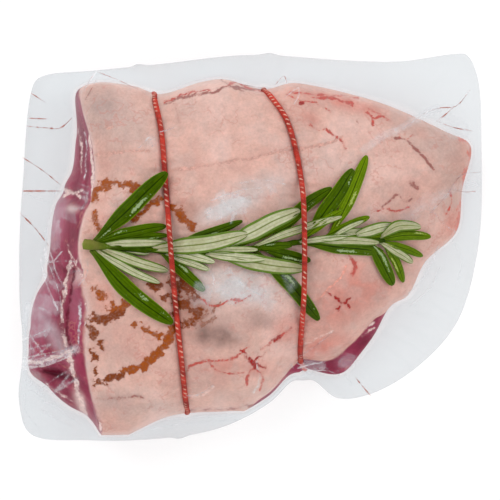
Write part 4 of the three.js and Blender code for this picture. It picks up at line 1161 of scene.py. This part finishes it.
def leafMaterial():
    # glossy above, felted below. The midrib, the margins and two side lines are drawn by the distance from
    # the middle of the blade. The dark line down the sunken midrib above and the dark band inside each margin
    # are painted shade, and the glints are painted highlights cut by a ragged mask
    material, tree, surface = newMaterial("rosemaryLeaf")
    tints = {name: (*colour, 1) for name, colour in linearTints(sprig["tints"]).items()}
    felt, young = readAttribute(tree, "felt"), readAttribute(tree, "young")
    base = placeGroup(tree, groups["mottle"], Color=readAttribute(tree, "tint", True), Scale=900.0,
                      Amount=0.16)
    away = maths(tree, "ABSOLUTE", readAttribute(tree, "across"))

    def band(low, high):
        # 0 nearer than low, 1 farther than high
        return addNode(tree, "ShaderNodeMapRange", {"interpolation_type": "SMOOTHSTEP"}, _0=away, _1=low,
                       _2=high, _3=0.0, _4=1.0).outputs[0]

    def between(low, middle, high):
        return maths(tree, "MULTIPLY", band(low, middle), maths(tree, "SUBTRACT", 1.0, band(middle, high)))

    lineAndShadeTint = blendColours(tree, felt, tints["upperDeep"], tints["feltShade"])
    colour = blendColours(tree, maths(tree, "MULTIPLY", between(0.3, 0.42, 0.54), 0.4),
                          base.outputs["Color"], lineAndShadeTint)
    # a dark band just inside each margin: painted shade under the rolled edge
    colour = blendColours(tree, maths(tree, "MULTIPLY", between(0.62, 0.76, 0.86), 0.6), colour, lineAndShadeTint)
    # the glints: painted highlights, cut crisp and ragged from that streak
    glint = placeGroup(tree, groups["raggedEdge"], Field=readAttribute(tree, "paintedShine"), Scale=1500.0,
                       Ragged=2.4, Softness=0.1)
    glintTint = blendColours(tree, young, tints["glintTint"], tints["youngGlintTint"])
    colour = blendColours(tree, maths(tree, "MULTIPLY", glint.outputs[0], 0.75), colour, glintTint)
    # the midrib: olive on the felted face, and on the upper face a dark line of painted shade down its sunken
    # groove
    ribTint = blendColours(tree, felt, tints["groove"], tints["rib"])
    onBlade = band(0.0, 0.001)
    rib = maths(tree, "MULTIPLY", maths(tree, "SUBTRACT", 1.0, band(0.04, 0.11)), onBlade)
    colour = blendColours(tree, maths(tree, "MULTIPLY", rib, 0.85), colour, ribTint)
    edgeTint = blendColours(tree, felt, tints["rim"], tints["margin"])
    edge = blendColours(tree, felt, (*[sprig["rimFrom"]] * 3, 1), (*[sprig["marginFrom"]] * 3, 1))
    start = maths(tree, "SUBTRACT", away, edge)
    margin = addNode(tree, "ShaderNodeMapRange", {"interpolation_type": "SMOOTHSTEP"}, _0=start, _1=0.0,
                     _2=0.05, _3=0.0, _4=0.9).outputs[0]
    tree.links.new(blendColours(tree, margin, colour, edgeTint), surface.inputs["Base Color"])
    tree.links.new(maths(tree, "MULTIPLY_ADD", felt, 0.4, 0.34), surface.inputs["Roughness"])
    relief = placeGroup(tree, groups["fineRelief"], Scale=1500.0, Depth=0.00015)
    tree.links.new(relief.outputs["Normal"], surface.inputs["Normal"])
    surface.inputs["Subsurface Weight"].default_value = 0.08
    surface.inputs["Subsurface Radius"].default_value = (0.4, 1.0, 0.2)
    surface.inputs["Subsurface Scale"].default_value = 0.0006
    surface.inputs["Specular IOR Level"].default_value = 0.02
    return material


film = {
    "tint": (0.42, 0.485, 0.53), "milkAndGlint": (0.8, 0.8, 0.82),
    "flangeCover": 0.225, "hazeCover": 0.45, "foldGlintCover": 0.34, "slantCover": 0.03,
    "markWander": (0.5, 4),                # of haze and folds, in picture units, and its size
    "patchy": (0.5, 3),                    # how far the haze comes and goes, and its size
    "hazeEdge": (0.42, 0.14),              # where the haze begins, as a share of its spot, and over what
    "foldGlintField": (0.38, 0.75),             # field of the faintest fold, and what its painted highlight adds
    "overTwine": (0.8, 2.2),               # how far and how wide the film is lifted by the twine
    "ripples": (0.16, 22),                 # height and size, over the flange
    "creases": (9, 0.07, 0.6, 0.2),        # spacing, half width, whiteness of the painted highlight and height of those that run out
    "juiceTint": (196, 128, 116), "juiceWidth": 0.32, "leastJuice": 0.25,
}

# Where the film stands off the food and goes milky: whiteness, place, half widths, turn.
filmHaze = [
    (0.45, 40, 312, 16, 36, 12), (0.42, 56, 222, 8, 25, 8), (0.5, 232, 206, 38, 13, -22),
    (0.42, 240, 290, 42, 19, 0), (0.55, 311, 366, 18, 6, 0), (0.4, 346, 362, 11, 9, 0),
    (0.25, 68, 215, 8, 12, 0), (0.25, 150, 142, 8, 7, 0), (0.25, 36, 385, 16, 10, 20),
    (0.25, 430, 200, 26, 9, -30), (0.2, 455, 128, 14, 12, 30), (0.2, 268, 182, 20, 5, -10),
]

# Fold bands and creases of the film, raised as real folds and whitened as painted highlights: whiteness, half
# width, height in mm, juice in it, points.
filmFolds = [
    (0.5, 3.4, 0.5, 0.15, [(364, 150), (380, 138), (400, 129), (420, 117), (438, 109)]),
    (0.35, 1.2, 0.4, 0.6, [(404, 128), (427, 112), (440, 108), (456, 106), (470, 90)]),
    (0.3, 1.0, 0.3, 0.6, [(436, 122), (446, 114), (454, 107)]),
    (0.3, 0.9, 0.3, 0.5, [(437, 121), (452, 127), (472, 131)]),
    (0.4, 2.8, 0.4, 0.1, [(412, 214), (430, 203), (446, 194), (462, 186), (478, 183)]),
    (0.3, 1.1, 0.3, 0.4, [(430, 213), (446, 196), (462, 175), (481, 172)]),
    (0.35, 1.0, 0.3, 0.2, [(430, 208), (442, 222), (456, 233)]),
    (0.3, 1.0, 0.3, 0.5, [(455, 190), (466, 192), (476, 191)]),
    (0.65, 4.0, 0.9, 0.25, [(21, 364), (36, 362), (50, 359), (62, 354), (76, 349)]),
    (0.6, 1.2, 0.6, 0.5, [(22, 367), (45, 366), (70, 356)]),
    (0.5, 1.0, 0.4, 0.3, [(24, 358), (44, 354), (66, 349)]),
    (0.4, 1.2, 0.4, 0.1, [(26, 330), (38, 346), (46, 356)]),
    (0.4, 1.0, 0.4, 0.1, [(43, 252), (52, 272), (60, 296), (62, 318)]),
    (0.5, 1.2, 0.4, 0.1, [(50, 252), (58, 276), (66, 290)]),
    (0.5, 1.3, 0.3, 0.0, [(44, 246), (50, 262), (62, 252)]),
    (0.35, 1.0, 0.3, 0.2, [(78, 286), (86, 276), (88, 262)]),
    (0.45, 1.2, 0.3, 0.0, [(40, 258), (47, 285), (58, 310)]),
    (0.3, 0.8, 0.35, 1.0, [(20, 213), (35, 228), (49, 246)]),
    (0.25, 0.8, 0.3, 0.9, [(22, 157), (42, 170), (62, 186)]),
    (0.3, 0.8, 0.3, 1.0, [(21, 191), (45, 191), (62, 191)]),
    (0.25, 0.8, 0.3, 0.9, [(26, 126), (48, 128), (60, 128), (74, 116)]),
    (0.2, 0.7, 0.2, 0.8, [(26, 118), (48, 119)]),
    (0.2, 0.7, 0.2, 0.7, [(31, 93), (46, 103)]),
    (0.3, 1.0, 0.3, 0.0, [(64, 91), (66, 104), (75, 117)]),
    (0.45, 1.2, 0.5, 0.7, [(84, 91), (90, 80), (97, 71)]),
    (0.35, 1.0, 0.4, 0.6, [(85, 100), (92, 88), (97, 78)]),
    (0.3, 0.8, 0.3, 0.7, [(98, 72), (118, 80), (131, 86), (138, 89)]),
    (0.4, 1.0, 0.3, 0.3, [(160, 132), (166, 130), (173, 128)]),
    (0.4, 0.9, 0.3, 0.0, [(137, 150), (144, 143), (150, 137), (153, 147)]),
    (0.3, 0.8, 0.2, 0.9, [(275, 85), (284, 76), (287, 83)]),
    (0.2, 0.8, 0.2, 0.4, [(240, 84), (262, 88), (272, 88)]),
    (0.4, 1.0, 0.3, 0.2, [(284, 98), (299, 88), (298, 97), (294, 104)]),
    (0.35, 1.2, 0.3, 0.0, [(212, 200), (226, 195), (242, 190), (262, 188)]),
    (0.3, 1.3, 0.3, 0.0, [(240, 183), (262, 180), (285, 184)]),
    (0.35, 1.2, 0.3, 0.0, [(208, 268), (214, 280), (210, 295)]),
    (0.3, 1.2, 0.3, 0.0, [(232, 272), (244, 286), (262, 296)]),
    (0.4, 1.0, 0.4, 0.2, [(296, 362), (310, 370), (328, 371), (340, 375)]),
    (0.5, 1.2, 0.4, 0.0, [(298, 368), (312, 364), (326, 361)]),
    (0.35, 0.9, 0.3, 0.8, [(355, 377), (364, 388), (371, 396)]),
    (0.3, 1.2, 0.4, 0.0, [(345, 372), (352, 385)]),
    (0.3, 1.0, 0.3, 0.3, [(297, 358), (310, 350), (332, 333)]),
    (0.35, 0.9, 0.3, 0.1, [(186, 396), (200, 394), (214, 385)]),
    (0.25, 1.6, 0.5, 0.0, [(404, 297), (420, 282), (432, 262), (438, 246)]),
    (0.25, 1.6, 0.5, 0.0, [(410, 306), (428, 290), (440, 268)]),
    (0.2, 1.4, 0.4, 0.2, [(42, 410), (58, 420), (72, 427)]),
    (0.2, 1.4, 0.4, 0.0, [(38, 398), (58, 408), (78, 424)]),
    (0.2, 1.2, 0.3, 0.0, [(24, 395), (28, 415), (40, 430)]),
    (0.25, 1.2, 0.3, 0.0, [(165, 420), (200, 417), (240, 414)]),
    (0.2, 1.2, 0.3, 0.0, [(130, 434), (180, 424), (240, 420)]),
    (0.2, 1.5, 0.4, 0.0, [(452, 240), (462, 260), (455, 290)]),
]


def groundHeight(x, y):
    # height of the meat's side, read backwards from its swell, of its cap inside it and of the flange past it
    angle, radius = polarOf(x, y)
    cap, girth, edge = capRadius(angle), girthRadius(angle), packLine(angle)
    swell = np.clip((radius - cap) / (girth - cap), 0, 1)
    level = np.arcsin(swell ** (1 / 1.15)) * 2 / math.pi
    flange = flangeHeight(angle, np.clip((radius - girth) / (edge - girth), 0, 1))
    side = np.where(radius < girth, mix(rimHeight(angle), joint["girthHeight"], level), flange)
    return np.where(radius <= cap, capHeight(x, y), side)


def stretchFilm(points):
    # a height map of the food with the film drawn tight over it: again and again each cell takes the mean of
    # its neighbours where that is higher
    cell = pack["mapCell"]
    xs, ys = np.arange(-88, 88, cell), np.arange(-76, 76, cell)
    gx, gy = np.meshgrid(xs, ys, indexing="ij")
    food = groundHeight(gx, gy)
    ix = np.clip(np.round((points[:, 0] - xs[0]) / cell).astype(int), 0, len(xs) - 1)
    iy = np.clip(np.round((points[:, 1] - ys[0]) / cell).astype(int), 0, len(ys) - 1)
    np.maximum.at(food, (ix, iy), points[:, 2] + 0.1)
    film = food.copy()
    for turn in range(pack["rounds"]):
        padded = np.pad(film, 1, mode="edge")
        shifts = [(i, j) for i in (0, 1, 2) for j in (0, 1, 2)]
        mean = sum(padded[i:len(xs) + i, j:len(ys) + j] for i, j in shifts) / 9
        film = np.maximum(food, mean) if turn < pack["rounds"] - 1 else mix(film, mean, 0.7)

    def heightAt(x, y):
        # the four cells round a point, weighted by nearness
        fx = np.clip((x - xs[0]) / cell, 0, len(xs) - 1.001)
        fy = np.clip((y - ys[0]) / cell, 0, len(ys) - 1.001)
        ix, iy = fx.astype(int), fy.astype(int)
        fx, fy = fx - ix, fy - iy
        near, far = (mix(film[ix, iy + k], film[ix + 1, iy + k], fx) for k in (0, 1))
        return mix(near, far, fy)

    return heightAt


def filmMarks(x, y, z):
    # haze, the field of painted highlights along the folds and fold height over the film, each the strongest
    # mark at the point
    u, v = seenAt(x, y, z)
    most, size = film["markWander"]
    u, v = u + most * layeredNoise(x, y, size, 61), v + most * layeredNoise(x, y, size, 66)
    most, size = film["patchy"]
    patchy = 1 + most * layeredNoise(x, y, size, 81)
    edgeFrom, edgeOver = film["hazeEdge"]
    faintest, added = film["foldGlintField"]
    haze, foldGlint, rise = np.zeros(x.shape), np.zeros(x.shape), np.zeros(x.shape)
    rough = 0.4 * layeredNoise(x, y, 5, 83) + 0.45 * shards(x + 0.5 * y, y * 0.6, 5, 85)
    for strength, *place in filmHaze:
        near = spotShare(u, v, *place)
        edge = smooth((near + rough - edgeFrom) / edgeOver) * smooth(near * 6)
        haze = np.maximum(haze, strength * edge * patchy)
    for strength, width, height, juice, points in filmFolds:
        share = lineShare(u, v, points, width)
        if width > 2:    # a broad band is milky, with no line of its own
            haze = np.maximum(haze, strength * smooth(1.5 * share) * patchy)
        else:
            foldGlint = np.maximum(foldGlint, (faintest + added * strength) * share * mix(1, patchy, 0.6))
        rise = np.maximum(rise, height * share)
    return np.clip(haze, 0, 1), np.clip(foldGlint, 0, 1), rise


def outwardCreases(x, y, turn, reach):
    # lines where a noise, drawn out along the radius, passes 0, most of them at the left: raised creases with
    # a painted highlight of the given whiteness
    size, width, whiteness, height = film["creases"]
    reachOut = 62 + 0.14 * (np.hypot(x - joint["middle"][0], y - joint["middle"][1]) - 62)
    drawn = layeredNoise(reachOut * np.cos(turn), reachOut * np.sin(turn), size, 163, 3)
    leftward = mix(0.45, 1, smooth((-x - 10) / 45)) * smooth(0.6 + 2 * softNoise(x, y, 13, 167))
    return bell(drawn, width) * leftward * smooth((reach - 1.02) / 0.1), whiteness, height


def underFilmRings(angle):
    # in along the flange just below the upper film, then round under the meat
    rings, turn = [], np.radians(angle)
    for step in (1, 0.75, 0.5, 0.25, 0):
        radius = mix(girthRadius(angle) + pack["underMargin"], packLine(angle) - 0.05, step)
        height = flangeHeight(angle, step) - 0.4 - 0.6 * (1 - step)
        x, y = joint["middle"][0] + radius * np.cos(turn), joint["middle"][1] + radius * np.sin(turn)
        rings.append(np.stack([x, y, height], 1))
    for step in (0.15, 0.35, 0.6, 0.85, 1.0):
        reach = np.full(len(angle), 2 + step)
        rings.append(np.stack(jointSurface(angle, reach, seams=0, margin=pack["underMargin"]), 1))
    return rings


def buildFilm(foodPoints):
    heightAt = stretchFilm(foodPoints)
    angle, share, faces, edge = discGrid(pack["cells"])
    cap, girth, rim = capRadius(angle), girthRadius(angle), packLine(angle)
    side = 1.1 * np.hypot(girth - cap, rimHeight(angle) - joint["girthHeight"])
    whole = cap + side + rim - girth
    reach = np.where(share < cap / whole, share * whole / cap, 1 + (share * whole - cap) / side)
    beyond = np.clip((share * whole - cap - side) / (rim - girth), 0, 1)
    x, y, z = jointSurface(angle, np.minimum(reach, 2), seams=0.35)
    lift, width = film["overTwine"]
    margin = pack["gap"] + lift * bell(twineDistance(x, y), width)
    x, y, z = jointSurface(angle, np.minimum(reach, 2), seams=0.35, margin=margin)
    turn, past = np.radians(angle), beyond * (rim - girth - pack["gap"])
    x, y = x + past * np.cos(turn), y + past * np.sin(turn)
    z = np.where(reach > 2, flangeHeight(angle, beyond), z)
    z = np.maximum(z, heightAt(x, y) + 0.15 * (1 - smooth(beyond * 4)))
    haze, foldGlint, rise = filmMarks(x, y, z)
    flange = smooth(beyond * 10)
    inside = 1 - smooth((beyond - 0.92) / 0.08)
    rippleHeight, size = film["ripples"]
    ripples = rippleHeight * layeredNoise(x, y, size, 21, 2)
    # the outward creases are raised a little and painted white as highlights
    crease, whiteness, height = outwardCreases(x, y, turn, reach)
    foldGlint = np.maximum(foldGlint, whiteness * crease)
    z = z + (rise + height * crease + flange * ripples) * inside
    upper = np.stack([x, y, z], 1)
    below, bands, fan = closeBelow(edge, len(x), underFilmRings(angle[edge]),
                                   joint["soleHeight"] - pack["underMargin"])
    zeros = np.zeros(len(below))
    piece = makePiece("clearFilm", np.vstack([upper, below]), [np.vstack([faces] + bands), fan], {
        "haze": np.concatenate([haze, zeros]), "foldGlint": np.concatenate([foldGlint, zeros]),
        # the flange's cover grows towards the left, darkening it there: painted shade
        "flange": np.concatenate([flange * (1 - 0.22 * x / 80), zeros + 1])})
    return piece, heightAt


def filmMaterial():
    # clear and faintly blue: see-through where it clings, milky where it stands off or is seen aslant, and
    # white along its folds as painted highlights
    material, tree, surface = newMaterial("clearFilm")
    haze, foldGlint, flange = (readAttribute(tree, name) for name in ("haze", "foldGlint", "flange"))
    # the folds' white: painted highlights with crisp, ragged edges
    line = placeGroup(tree, groups["raggedEdge"], Field=foldGlint, Scale=500.0, Ragged=0.7, Softness=0.2)
    foldGlint = maths(tree, "MAXIMUM", maths(tree, "MULTIPLY", foldGlint, 0.25), line.outputs[0])
    grain = placeGroup(tree, groups["mottle"], Scale=420.0, Amount=0.6, Stretch=(1, 0.6, 1))
    haze = maths(tree, "MULTIPLY", haze, maths(tree, "MULTIPLY_ADD", grain.outputs["Mask"], 0.9, 0.55))
    hazeAndGlint = blendColours(tree, maths(tree, "MAXIMUM", haze, foldGlint), (*film["tint"], 1), (*film["milkAndGlint"], 1))
    tree.links.new(hazeAndGlint, surface.inputs["Base Color"])
    slant = addNode(tree, "ShaderNodeLayerWeight", Blend=0.35).outputs["Facing"]
    cover = maths(tree, "MULTIPLY", flange, film["flangeCover"])
    cover = maths(tree, "MULTIPLY_ADD", haze, film["hazeCover"], cover)
    cover = maths(tree, "MULTIPLY_ADD", foldGlint, film["foldGlintCover"], cover)
    cover = maths(tree, "MULTIPLY_ADD", slant, film["slantCover"], cover, clamp=True)
    rays = addNode(tree, "ShaderNodeLightPath").outputs
    passed = maths(tree, "MAXIMUM", rays["Is Shadow Ray"], rays["Is Diffuse Ray"])
    cover = maths(tree, "MULTIPLY", cover, maths(tree, "SUBTRACT", 1.0, passed))
    tree.links.new(cover, surface.inputs["Alpha"])
    relief = placeGroup(tree, groups["fineRelief"], Scale=160.0, Depth=0.0002)
    tree.links.new(relief.outputs["Normal"], surface.inputs["Normal"])
    surface.inputs["Roughness"].default_value = 0.18
    surface.inputs["Specular IOR Level"].default_value = 0.12
    return material


def buildJuice(heightAt):
    # threads of meat juice held in the film's folds: thin flat tubes whose width comes and goes
    points, faces = [], []
    sides = 6
    for number, (strength, width, height, juice, marks) in enumerate(filmFolds):
        if juice < film["leastJuice"]:
            continue
        picture, length = evenSteps(splinePoints(marks, False, 12), 90)
        x, y = placeOf(picture[:, 0], picture[:, 1], 10.0)
        for _ in range(2):
            x, y = placeOf(picture[:, 0], picture[:, 1], heightAt(x, y))
        line = np.stack([x, y, heightAt(x, y) + 0.3], 1)
        ahead = np.gradient(line, axis=0)
        ahead /= np.linalg.norm(ahead, axis=1, keepdims=True)
        sideways = np.stack([-ahead[:, 1], ahead[:, 0], 0 * x], 1)
        steps = np.linspace(0, 1, len(line))
        beads = layeredNoise(steps * length * 0.5, steps * 0 + 7 * number, 1.6, 500 + number)
        beads = np.clip(0.35 + 1.1 * beads, 0, 1)
        taper = np.sin(math.pi * np.clip(steps, 0.02, 0.98)) ** 0.4
        radius = (0.03 + film["juiceWidth"] * juice * beads) * taper
        turn = np.linspace(0, 2 * math.pi, sides, endpoint=False)
        around = np.cos(turn)[None, :, None] * sideways[:, None] + np.sin(turn)[None, :, None] * (0, 0, 0.4)
        ring = line[:, None] + radius[:, None, None] * around
        first = sum(len(p) for p in points)
        caps = np.array([line[0], line[-1]])
        points.append(np.vstack([ring.reshape(-1, 3), caps]))
        tube = gridFaces(len(line), sides, closedColumns=True)[:, ::-1]
        side = np.arange(sides)
        start = np.stack([side, np.full(sides, len(line) * sides), np.roll(side, -1)], 1)[:, ::-1]
        end = np.stack([side, np.full(sides, len(line) * sides + 1), np.roll(side, -1)], 1)
        end[:, [0, 2]] += (len(line) - 1) * sides
        faces.append((tube + first, start + first, end + first))
    quads = np.vstack([f[0] for f in faces])
    triangles = np.vstack([np.vstack(f[1:]) for f in faces])
    return makePiece("juiceThreads", np.vstack(points), [quads, triangles])


def juiceMaterial():
    material, tree, surface = newMaterial("meatJuice")
    coloured = placeGroup(tree, groups["mottle"], Color=(*linear(film["juiceTint"]), 1), Scale=500.0,
                          Amount=0.25)
    tree.links.new(coloured.outputs["Color"], surface.inputs["Base Color"])
    surface.inputs["Roughness"].default_value = 0.3
    surface.inputs["Alpha"].default_value = 0.8
    return material


groups = {"mottle": buildMottleGroup(), "fineRelief": buildReliefGroup(), "raggedEdge": buildEdgeGroup(),
          "fineThreads": buildThreadGroup()}
finishPiece(buildMeat(), meatMaterial(), "lamb", "lamb_rump")
yarn = twineMaterial()
tops = []
for twineName, node in twine["nodes"].items():
    piece, line = buildTwine(twineName)
    finishPiece(piece, yarn, "twine", node)
    over = line[line[:, 2] > 12]
    tops += [over + (shift, 0, twine["radius"] * (1 - abs(shift))) for shift in (-0.7, 0, 0.7)]
piece, leafTops = buildSprig()
finishPiece(piece, leafMaterial(), "rosemary", "rosemary_sprig")
piece, filmHeight = buildFilm(np.vstack(tops + [leafTops]))
finishPiece(piece, filmMaterial(), "film", "vacuum_bag")
finishPiece(buildJuice(filmHeight), juiceMaterial(), "lamb")
buildStudio()
